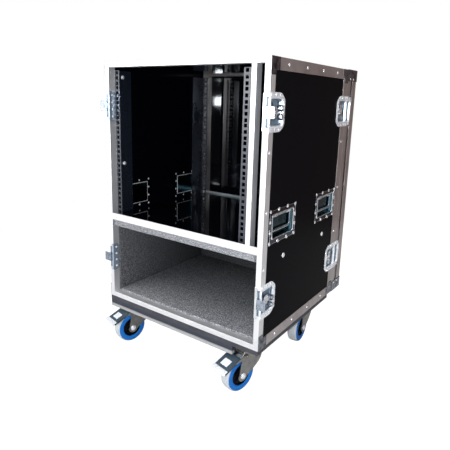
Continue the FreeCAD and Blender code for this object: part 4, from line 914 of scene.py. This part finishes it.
def castor(name):
    """Swivel castor: a fork with its axle bolt, and a wheel of tread, blue ring and hub."""
    swivel = joint_place("swivel_" + name)
    hub_centre = joint_place("roll_" + name)
    axle = Vector(JOINTS["roll_" + name]["axis"]).normalized()
    across = axle.orthogonal().normalized()
    other = axle.cross(across)
    out = hub_centre - swivel
    out.z = 0
    trail = out.length / MM
    out.normalize()
    crown = high("castor_fork_" + name).z / MM

    def place(t, z, a):
        """Trail, height and axle coordinates about the swivel axis, in millimetres."""
        return Vector((swivel.x, swivel.y, 0)) + out * t * MM + axle * a * MM + Vector((0, 0, z * MM))

    def sheet(edge, radius):
        """One face of the fork's bent crown, from the lower edge of one cheek over to the other."""
        half = [(-edge, crown - 7.2)]
        half += [
            (FORK_BEND - CHEEK_OUT - radius * math.cos(turn), crown - FORK_BEND + radius * math.sin(turn))
            for turn in quarter(8)
        ]
        return half + [(-a, z) for a, z in half[::-1]]

    def fork(shape):
        leg = crown - WHEEL + FOOT
        rear_edge = [
            (FORK_REAR + long, WHEEL - FOOT + leg * up)
            for long, up in (
                (0, 0.92), (0, 0.62), (3, 0.53), (10, 0.44),
                (20, 0.35), (32, 0.265), (45, 0.185), (53, 0.13),
            )
        ]
        foot = [
            (trail - FOOT * math.cos(angle), WHEEL - FOOT * math.sin(angle))
            for angle in (math.pi / 5 + math.pi * step / 12 for step in range(10))
        ]
        front_edge = [
            (trail + long, WHEEL - FOOT + leg * up)
            for long, up in (
                (12.6, 0.22), (11.0, 0.34), (8.8, 0.48), (6.0, 0.62), (2.0, 0.78), (-4.0, 0.92)
            )
        ]
        outline = rear_edge + foot + front_edge
        for inner, outer in ((CHEEK_IN, CHEEK_OUT), (-CHEEK_OUT, -CHEEK_IN)):
            prism(shape, outline, place, inner, outer)
        section = sheet(CHEEK_OUT, FORK_BEND) + sheet(CHEEK_IN, FORK_BEND - CHEEK_OUT + CHEEK_IN)[::-1]
        ends = (FORK_REAR, FORK_REAR + 1, trail - 5, trail - 4)
        loft(shape, [[place(t, z, a) for a, z in section] for t in ends])

    fork_node, tyre_node, hub_node = ("castor_%s_%s" % (part, name) for part in ("fork", "tyre", "hub"))
    piece(fork_node + "_shown", "fork_" + name, "zinc_steel", fork, (fork_node,), bevel=0.7 * MM)

    def axle_bolt(shape):
        washer = [(0, 0), (8.6, 0), (9.0, 0.4), (9.0, 1.0), (8.6, 1.4), (0, 1.4)]
        nut = [(0, 1.4), (7.2, 1.4), (7.4, 1.8), (7.4, 3.6), (6.4, 4.3), (0, 4.3)]
        for facing in (1, -1):
            start = place(trail, WHEEL, CHEEK_OUT * facing)
            along = axle * facing
            lathe(shape, start, along, in_mm(washer), 32)
            lathe(shape, start, along, in_mm(nut), 6)
            dome(shape, start + along * 4.2 * MM, along, 4.0 * MM, 1.4 * MM)

    piece("castor_axle_" + name, "fork_" + name, "bolt_steel", axle_bolt)

    def wheel_ring(shape, profile):
        """Closed profile of (radius, along) turned about the axle, with a hole left in the middle."""
        steps = 72
        rings = []
        for step in range(steps + 1):
            angle = 2 * math.pi * step / steps
            ray = across * math.cos(angle) + other * math.sin(angle)
            rings.append([
                hub_centre + ray * radius * MM + axle * along * MM for radius, along in profile
            ])
        loft(shape, rings, False, False)

    def tread(shape):
        half = [(44.5, 15.0), (46.6, 15.2), (48.4, 13.8), (49.5, 10.5), (50, 5)]
        wheel_ring(shape, [(radius, -along) for radius, along in half] + half[::-1])

    def ring(shape):
        half = [(31.0, 14.6), (31.8, 15.8), (34, 16.6), (39, 17.0),
                (43.5, 16.6), (45.8, 15.8), (46.4, 14.6)]
        profile = [(radius, -along) for radius, along in half] + [(46.0, -12), (46.0, 12)] + half[::-1]
        wheel_ring(shape, profile)

    def hub(shape):
        half = [(6.1, 18.0), (10.0, 18.0), (10.8, 17.2), (11.2, 13.0), (13.0, 11.5),
                (25.0, 10.5), (27.6, 12.0), (28.6, 15.0), (30.0, 15.9), (31.0, 15.0)]
        wheel_ring(shape, half + [(radius, -along) for radius, along in half[::-1]])
        rib_top = ((10.5, 15.6, -1.2), (10.5, 15.6, 1.2), (28.8, 12.6, 1.2), (28.8, 12.6, -1.2))
        for rib in range(6):
            angle = math.pi * rib / 3
            ray = across * math.cos(angle) + other * math.sin(angle)
            tangent = axle.cross(ray)
            for facing in (1, -1):
                corners = [
                    hub_centre + (ray * radius + tangent * sideways + axle * along * facing) * MM
                    for radius, along, sideways in rib_top
                ]
                loft(shape, [[corner - axle * facing * 5.5 * MM for corner in corners], corners])

    piece("castor_tread_" + name, "wheel_" + name, "tread", tread, (tyre_node,))
    piece("castor_ring_" + name, "wheel_" + name, "tread", ring, (), BLUE)
    piece(hub_node + "_shown", "wheel_" + name, "hub", hub, (hub_node,), bevel=0.3 * MM)

    if name.startswith("front"):
        pedal(name, place)


def pedal(name, place):
    """Brake pedal: a dark tread plate with a bright rolled lip and badge, on two arms."""
    slope = math.atan2(PAD_FALL[1], PAD_FALL[0])
    start_t, start_z = PAD_START
    pedal_node = "castor_pedal_" + name

    def on(u, v, w):
        """u runs out along the slope, v across, w square to the plate."""
        t = start_t + u * math.cos(slope) + w * math.sin(slope)
        return place(t, start_z - u * math.sin(slope) + w * math.cos(slope), v)

    def rectangle(u0, v0, u1, v1):
        return [(u0, v0), (u1, v0), (u1, v1), (u0, v1)]

    def arms(shape):
        arm = [(21.5, 103.0), (24.0, 100.4), (30.0, 99.2), (58.0, 99.0), (70.0, 97.0), (76.0, 99.6),
               (60.0, 107.0), (34.0, 112.2), (26.0, 111.6), (22.0, 108.0)]
        for v0, v1 in ((23.4, PEDAL_HALF), (-PEDAL_HALF, -23.4)):
            prism(shape, arm, place, v0, v1)
        start, finish = place(*PEDAL_PIN, -PIN_HALF), place(*PEDAL_PIN, PIN_HALF)
        long = 2 * PIN_HALF
        pin = [(0, 0), (4.4, 0), (4.4, 2.0), (3.0, 2.0),
               (3.0, long - 2.0), (4.4, long - 2.0), (4.4, long), (0, long)]
        lathe(shape, start, finish - start, in_mm(pin), 24)

    piece(pedal_node + "_shown", "pedal_" + name, "zinc_steel", arms, (pedal_node,), None, 0.5 * MM)

    def pad(shape):
        """Tread plate with a flange turned down along each side."""
        prism(shape, rectangle(-3, -PEDAL_HALF, PAD_END, PEDAL_HALF), on, 0, 2.6)
        prism(shape, rectangle(14, -PEDAL_HALF, PAD_END, -24.0), on, -5.0, 0.5)
        prism(shape, rectangle(14, 24.0, PAD_END, PEDAL_HALF), on, -5.0, 0.5)

    piece("castor_pad_" + name, "pedal_" + name, "zinc_steel", pad, (), PEDAL_PAINT, 0.6 * MM)

    def lip(shape):
        u0, w0 = LIP_CENTRE
        turns = [-math.pi * 0.42 + math.pi * 0.92 * step / 10 for step in range(11)]
        outer, inner = (
            [(u0 + radius * math.cos(turn), w0 + radius * math.sin(turn)) for turn in turns]
            for radius in (LIP_CURL, LIP_CURL - 1.4)
        )
        section = outer + [(50.0, 3.9), (50.0, 2.5)] + inner[::-1]
        loft(shape, [[on(u, v, w) for u, w in section] for v in (-27.8, -26.8, 26.8, 27.8)])

    piece("castor_lip_" + name, "pedal_" + name, "zinc_steel", lip, (), RIVET, 0.3 * MM)

    def badge(shape):
        prism(shape, rectangle(19, -13, 41, 13), on, 2.0, 3.9)

    piece("castor_badge_" + name, "pedal_" + name, "zinc_steel", badge, (), BADGE, 0.6 * MM)


for name in ("front_right", "front_left", "rear_right", "rear_left"):
    castor(name)
softened("castor_plates", "case", "zinc_steel", 0.5 * MM)

# ---------------------------------------------------------------- floor, light and camera


FLOOR_REACH = 1.7
FLOOR_GLOW = 1.35
FLOOR_SHARE = 0.72
FRONT_LEFT = (-0.58, -0.81, 0.0)
CAMERA_AT = (0.809, -1.181, 0.797)
CAMERA_TURN = (12.44, 35.53, 1.45)


def floor():
    """Round pale floor that the camera sees as mostly lit paper, with the case's shadow on it."""
    mesh = bpy.data.meshes.new("studio_floor")
    rim = [
        (FLOOR_REACH * math.cos(angle), FLOOR_REACH * math.sin(angle), 0) for angle in around(RING_STEPS)
    ]
    mesh.from_pydata(rim, [], [tuple(range(RING_STEPS))])
    item = bpy.data.objects.new("studio_floor", mesh)
    bpy.context.collection.objects.link(item)
    made, tree, shader = material("pale_floor", roughness=0.9, Specular_IOR_Level=0.0)
    shader.inputs["Base Color"].default_value = (0.58, 0.58, 0.58, 1)
    paper = tree.nodes.new("ShaderNodeEmission")
    paper.inputs["Strength"].default_value = FLOOR_GLOW
    rays = tree.nodes.new("ShaderNodeLightPath")
    seen = tree.nodes.new("ShaderNodeMath")
    seen.operation = "MULTIPLY"
    seen.inputs[1].default_value = FLOOR_SHARE
    choice = tree.nodes.new("ShaderNodeMixShader")
    tree.links.new(rays.outputs["Is Camera Ray"], seen.inputs[0])
    tree.links.new(seen.outputs[0], choice.inputs[0])
    tree.links.new(shader.outputs[0], choice.inputs[1])
    tree.links.new(paper.outputs[0], choice.inputs[2])
    tree.links.new(choice.outputs[0], tree.nodes["Material Output"].inputs["Surface"])
    mesh.materials.append(made)


def area_light(name, place, aim, size, power, colour=(1, 1, 1)):
    """Rectangular lamp pointed at a place and hidden from the camera."""
    data = bpy.data.lights.new(name, "AREA")
    data.shape = "RECTANGLE"
    data.size, data.size_y = size
    data.energy = power
    data.color = colour
    item = bpy.data.objects.new(name, data)
    item.location = place
    item.rotation_euler = (Vector(aim) - Vector(place)).to_track_quat("-Z", "Y").to_euler()
    item.visible_camera = False
    bpy.context.collection.objects.link(item)


def studio():
    """Surroundings: white to the camera; otherwise bright ahead of the case, dim and warm behind it."""
    bpy.context.scene.view_settings.view_transform = "Standard"
    world = bpy.data.worlds.new("studio")
    bpy.context.scene.world = world
    world.use_nodes = True
    tree = world.node_tree
    backdrop = tree.nodes["Background"]
    backdrop.inputs["Color"].default_value = (1, 1, 1, 1)
    room = tree.nodes.new("ShaderNodeBackground")
    coords = tree.nodes.new("ShaderNodeTexCoord")
    facing = tree.nodes.new("ShaderNodeVectorMath")
    facing.operation = "DOT_PRODUCT"
    facing.inputs[1].default_value = FRONT_LEFT
    tree.links.new(coords.outputs["Generated"], facing.inputs[0])
    shade = ramp(tree, span(tree, facing.outputs["Value"], 0, 1, -1, 1), [
        (0.05, (0.22, 0.17, 0.16)), (0.45, (0.27, 0.25, 0.25)),
        (0.62, (0.42, 0.44, 0.48)), (0.90, (0.86, 0.90, 0.95))])
    tree.links.new(shade, room.inputs["Color"])
    rays = tree.nodes.new("ShaderNodeLightPath")
    choice = tree.nodes.new("ShaderNodeMixShader")
    tree.links.new(rays.outputs["Is Camera Ray"], choice.inputs[0])
    tree.links.new(room.outputs[0], choice.inputs[1])
    tree.links.new(backdrop.outputs[0], choice.inputs[2])
    tree.links.new(choice.outputs[0], tree.nodes["World Output"].inputs["Surface"])
    area_light("overhead", (0, -0.4, 3.2), (0, 0, 0), (4.0, 4.0), 110)
    area_light("key", (-1.8, -2.7, 1.0), (0, 0, 0.30), (1.6, 1.2), 45)
    area_light("fill", (3.0, -1.2, 1.4), (0.2, 0, 0.45), (1.2, 1.2), 9, (1.0, 0.93, 0.88))
    area_light("flash", (0.776, -1.20, 0.785), (0, 0, 0.62), (0.10, 0.06), 15.0, (0.86, 0.93, 1.0))


def camera():
    """The photo's view: above and to the right of the open front."""
    pitch, yaw, roll = (math.radians(angle) for angle in CAMERA_TURN)
    ahead = math.cos(pitch)
    forward = Vector((-math.sin(yaw) * ahead, math.cos(yaw) * ahead, -math.sin(pitch)))
    level = forward.cross(Vector((0, 0, 1))).normalized()
    up = level.cross(forward)
    right = level * math.cos(roll) + up * math.sin(roll)
    true_up = right.cross(forward)
    data = bpy.data.cameras.new("photo_view")
    data.sensor_width = 36.0
    data.lens = 35.77
    data.shift_x = 0.0124
    data.shift_y = -0.0589
    data.clip_start = 0.05
    item = bpy.data.objects.new("photo_view", data)
    turn = Matrix((right, true_up, -forward)).transposed().to_4x4()
    item.matrix_world = Matrix.Translation(CAMERA_AT) @ turn
    bpy.context.collection.objects.link(item)
    bpy.context.scene.camera = item


floor()
studio()
camera()
